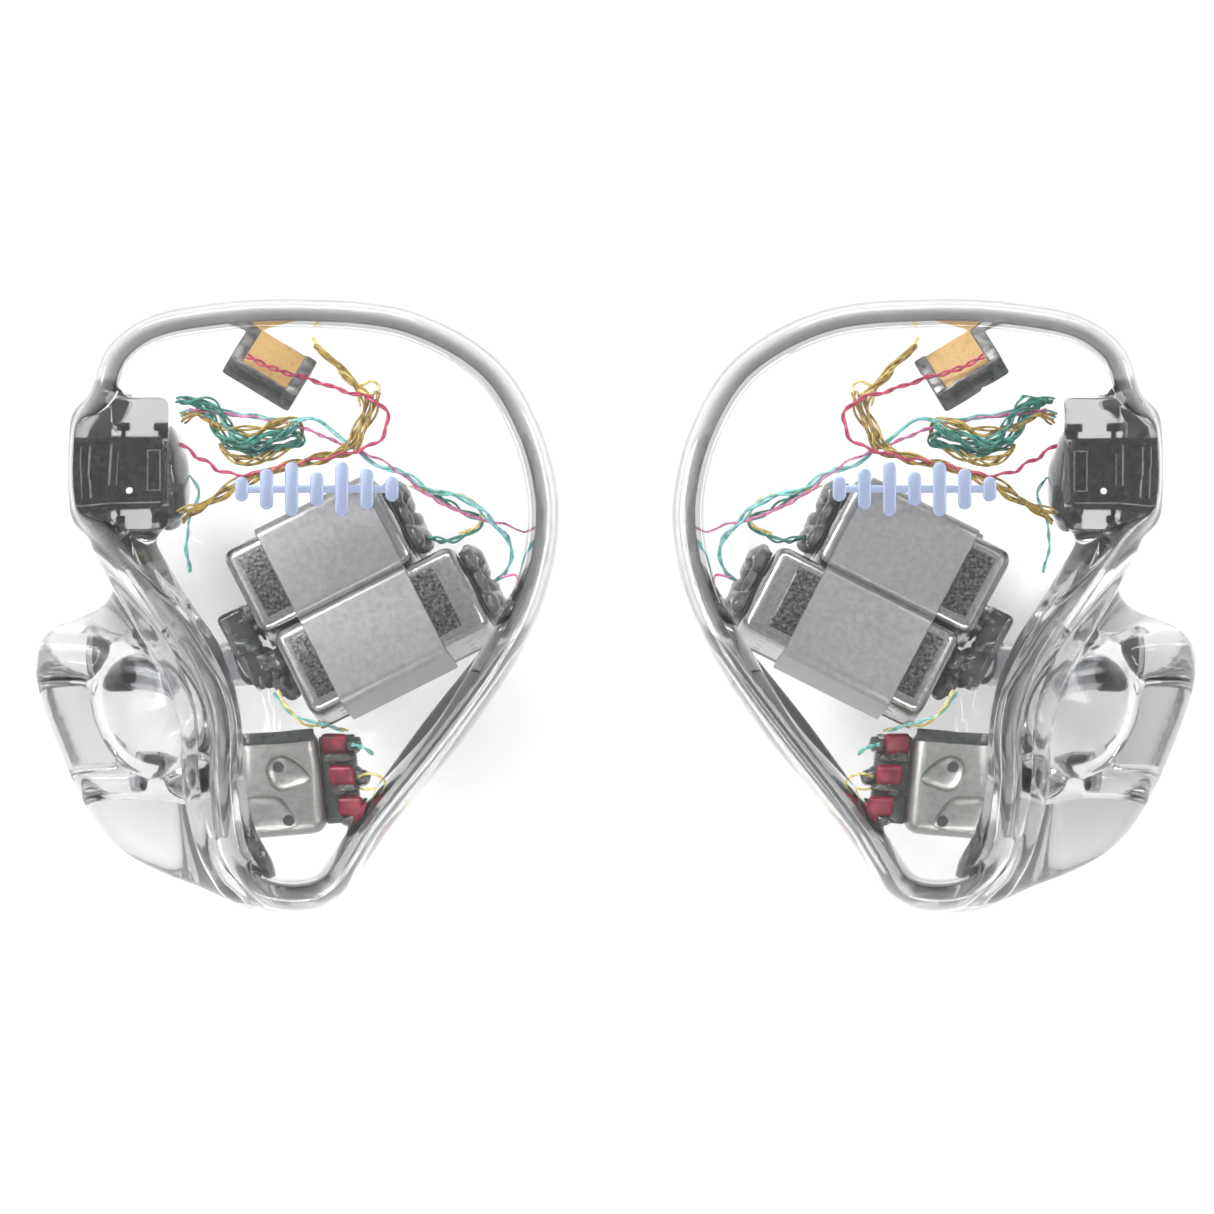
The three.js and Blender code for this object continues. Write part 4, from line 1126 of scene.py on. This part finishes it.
# Each bundle: its route, strands, spread, the strands' radius, the pitch of their twist, looseness.
BUNDLES = {
    "gold": [
        ([(-0.1, 11.4, 11.6), (0.55, 10.8, 12), (1.33, 9.96, 12.2), (2, 9.35, 12.3),
          (2.15, 8.9, 12.4), (1.87, 7.95, 12.5), (1.3, 6.9, 12.6), (0, 6.25, 12.6),
          (-1.6, 5.9, 12.5), (-3.1, 5.5, 12.2), (-4.7, 4.6, 11.4), (-5.95, 3.65, 10.4)],
          5, 0.15, 0.058, 3.4, 0.6),
        ([(2.7, 9.3, 12.4), (2.3, 8.3, 12.5), (1.6, 6.9, 12.75), (0.3, 6.45, 12.8),
          (-1.4, 6.1, 12.7), (-3.4, 5.2, 12.3), (-5, 4.3, 11.7), (-6.1, 4, 11)],
          4, 0.15, 0.055, 3, 0.6),
        ([(-6, 8.1, 10.4), (-5.3, 8.3, 10.9), (-4.3, 7.8, 11.4), (-3, 7.6, 11.8), (-1.8, 7.9, 11.9),
          (-0.9, 8.1, 11.6), (-0.8, 7.2, 11.2), (-2, 6.6, 11.3), (-3.4, 6.3, 11.6),
          (-4.3, 6.9, 11.3), (-3.5, 7.2, 11), (-2, 7, 10.9)], 5, 0.16, 0.055, 3.1, 0.7),
    ],
    "yellow": [
        ([(-0.25, 11.7, 11.5), (0.45, 10.9, 11.9), (1.2, 10.1, 12.2), (1.7, 9.7, 12.3),
          (2.35, 9.75, 12.3), (2.7, 9.45, 12.4), (2.4, 9.15, 12.5), (1.8, 9.45, 12.4),
          (1.9, 8.7, 12.4)], 2, 0.07, 0.045, 1.2, 0.2),
        ([(4, 5.2, 12.1), (5.2, 4.9, 12.2), (6.4, 4.75, 12.1), (7.1, 4.2, 12), (7.05, 3.5, 11.7),
          (6.2, 3.1, 11.2)], 2, 0.06, 0.045, 1.1, 0.2),
        ([(-1.75, -3.8, 10.9), (-1.35, -4.5, 11.1), (-0.95, -5, 11.1), (-0.6, -5.3, 10.8),
          (0.3, -5.35, 10.2), (1.2, -5.6, 9.6)], 2, 0.06, 0.045, 1.1, 0.2),
        ([(1.7, -7.6, 9.9), (2.2, -7.45, 10.3), (2.65, -7.6, 10.2), (2.7, -8, 10), (2.3, -8.15, 10),
          (1.8, -8.1, 9.8)], 2, 0.05, 0.045, 1.1, 0.2),
    ],
    "red": [
        ([(-3.1, 10.9, 12.3), (-2, 10.35, 12.35), (-0.45, 9.9, 12.3), (1.2, 9.35, 12.7),
          (2.5, 8.95, 12.9), (3.1, 8.2, 12.95), (2.7, 7.2, 13), (1.4, 6.65, 13.05), (-0.9, 6.2, 13),
          (-2.6, 5.75, 12.7), (-3.9, 5.7, 12.1), (-5.1, 6.3, 11.3), (-6.1, 7, 10.5)],
          2, 0.07, 0.055, 1.3, 0.2),
    ],
    "pink": [
        ([(-5.7, 8.5, 10.6), (-4.2, 8.35, 11.1), (-2.6, 8.15, 11.6), (-0.6, 7.7, 12),
          (1.1, 7, 12.3), (3, 6.2, 12.5), (4.9, 4.75, 12.5), (7.1, 3.75, 12.1), (8.6, 3.4, 11.4),
          (9.3, 2.9, 10.6)], 2, 0.06, 0.045, 1.3, 0.2),
        ([(8, 1.2, 10.6), (8.6, 1.32, 10.7), (9.4, 1.2, 10.4)], 1, 0, 0.06, 1.3, 0.2),
    ],
    "green": [
        ([(-6.2, 8.9, 9.9), (-5.4, 8.75, 10.5), (-4.8, 8.2, 11), (-4.3, 7.4, 11.4),
          (-3.5, 6.95, 11.6), (-2.4, 7.1, 11.7), (-1.2, 7.5, 11.7), (-0.8, 7.2, 11.6),
          (-1.7, 6.85, 11.3), (-3.1, 6.7, 11.2), (-4.3, 7.1, 11)], 6, 0.17, 0.058, 2.6, 0.6),
        ([(-5.6, 8.9, 10.7), (-4.6, 8.7, 11.3), (-4, 7.8, 11.7), (-3.1, 7.1, 11.9), (-1.6, 7.6, 12),
          (-0.9, 7.9, 11.9)], 5, 0.15, 0.055, 2.4, 0.6),
        ([(4.4, 5.2, 11.9), (5.6, 4.5, 11.9), (6.6, 4, 11.7), (7.15, 3.6, 11.4), (6.6, 3.05, 11),
          (5.5, 2.85, 10.6), (4.8, 2.85, 10)], 3, 0.1, 0.055, 2.2, 0.5),
    ],
    "teal": [
        ([(-6.1, 8.3, 9.9), (-4.9, 8.5, 10.6), (-3.3, 8.3, 11.2), (-1.9, 8.05, 11.7),
          (-0.4, 8.1, 11.9), (0.9, 7.5, 12), (1.4, 6.9, 12.1), (2.5, 6.2, 12.3), (3.8, 5.7, 12.4),
          (5, 5, 12.4), (6.2, 4.75, 12.3), (7.3, 4, 12.1), (8.2, 3, 11.7), (8.5, 2.1, 11),
          (8.2, 1.4, 10.4), (7.7, 1.15, 9.8)], 3, 0.09, 0.055, 2.2, 0.4),
        ([(-5.7, 5.6, 9.4), (-5.3, 4.9, 9.6), (-5.75, 3.6, 9.6), (-5.8, 2.4, 9.3),
          (-5.55, 1.4, 8.9)], 2, 0.05, 0.04, 1.3, 0.2),
        ([(-1.9, -3.9, 10.7), (-1.2, -4.8, 11.1), (-0.35, -5.15, 11), (0.4, -5.35, 10.6),
          (1, -5.6, 10)], 2, 0.05, 0.045, 1.2, 0.2),
        ([(1.4, -6.2, 10), (1.9, -6.3, 10.35), (2.35, -6.6, 10.2)], 2, 0.05, 0.05, 1.2, 0.2),
    ],
}


def build_wires():
    slots = {"yellow": "gold_wire", "pink": "red_wire"}
    for index, (colour, bundles) in enumerate(BUNDLES.items()):
        work = Work()
        for k, bundle in enumerate(bundles):
            twist(work, bundle, 1.1 * k, 10 * index + k)
        both(
            f"litz_{colour}", work.mesh(), WIRE_FINISH[colour],
            replaces=[] if colour in slots else [f"wire_{colour}"], smooth=80,
        )


def dress_carried_nodes():
    """The metal inside the closed cans and the contact sleeves keep their CAD shape."""
    finishes = {
        "_motor": MAGNET_METAL, "_armature": REED_METAL, "_sleeve_a": CONTACT_GOLD,
        "_sleeve_b": CONTACT_GOLD,
    }
    for name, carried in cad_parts.items():
        for ending, finish in finishes.items():
            if name.endswith(ending):
                for material_slot in carried.material_slots:
                    material_slot.material = finish


# ---- Stage ----
def softbox(name, at, size, power):
    """A rectangular lamp that shines on the middle of the pair."""
    data = bpy.data.lights.new(name, "AREA")
    data.shape = "RECTANGLE"
    data.size, data.size_y = size
    data.energy = power
    lamp = add_object(name, data)
    lamp.location = at
    lamp.rotation_euler = (Vector((0, 0, 0.008)) - Vector(at)).to_track_quat("-Z", "Y").to_euler()


def build_stage():
    scene = bpy.context.scene
    camera = add_object("camera", bpy.data.cameras.new("camera"))
    scene.camera = camera
    distance, view_width = 0.6, 0.05396
    camera.data.sensor_width = 36
    camera.data.lens = 36 * distance / view_width
    camera.data.clip_start = 0.01
    camera.data.clip_end = 10
    camera.location = (-0.00038, -0.00013, 0.008 + distance)
    work = bmesh.new()
    bmesh.ops.create_grid(work, x_segments=8, y_segments=8, size=3)
    plane = bpy.data.meshes.new("floor")
    work.to_mesh(plane)
    work.free()
    floor = add_object("floor", plane)
    floor.location.z = -0.00002
    made, tree, principled = new_material("pale_floor")
    pale = ramp(tree, noise(tree, 20), evenly([grey(0.90), grey(0.92)]))
    feed(principled, Base_Color=pale, Roughness=0.9, Specular_IOR_Level=0.1)
    plane.materials.append(made)
    world = bpy.data.worlds.new("studio")
    scene.world = world
    world.use_nodes = True
    tree = world.node_tree
    direction = node(tree, "ShaderNodeTexCoord").outputs["Generated"]
    height = node(tree, "ShaderNodeSeparateXYZ", Vector=direction).outputs["Z"]
    sky = ramp(tree, height, [(0.0, grey(0.6)), (0.35, grey(0.42)), (1.0, grey(0.5))])
    feed(tree.nodes["Background"], Color=sky)
    softbox("key", (-0.32, 0.32, 0.42), (0.30, 0.09), 2.2)
    softbox("top", (0.02, 0.46, 0.40), (0.44, 0.05), 1.2)
    softbox("left", (-0.46, 0.02, 0.40), (0.44, 0.05), 1.2)
    softbox("fill", (0.42, 0.05, 0.36), (0.36, 0.10), 1.2)
    softbox("low", (0.02, -0.45, 0.36), (0.40, 0.10), 0.9)
    # Light runs along inside clear plastic by many total reflections, each of them a glossy bounce.
    scene.cycles.max_bounces = 24
    scene.cycles.transmission_bounces = 24
    scene.cycles.glossy_bounces = 20
    scene.view_settings.view_transform = "Standard"
    scene.view_settings.exposure = 0.0


build_stage()
build_shell()
build_faceplate()
build_socket()
build_woofer("woofer_a", WOOFER_A)
build_woofer("woofer_b", WOOFER_B)
build_strap()
build_tweeter()
build_capacitor()
build_tubes()
build_emblem()
build_wires()
dress_carried_nodes()
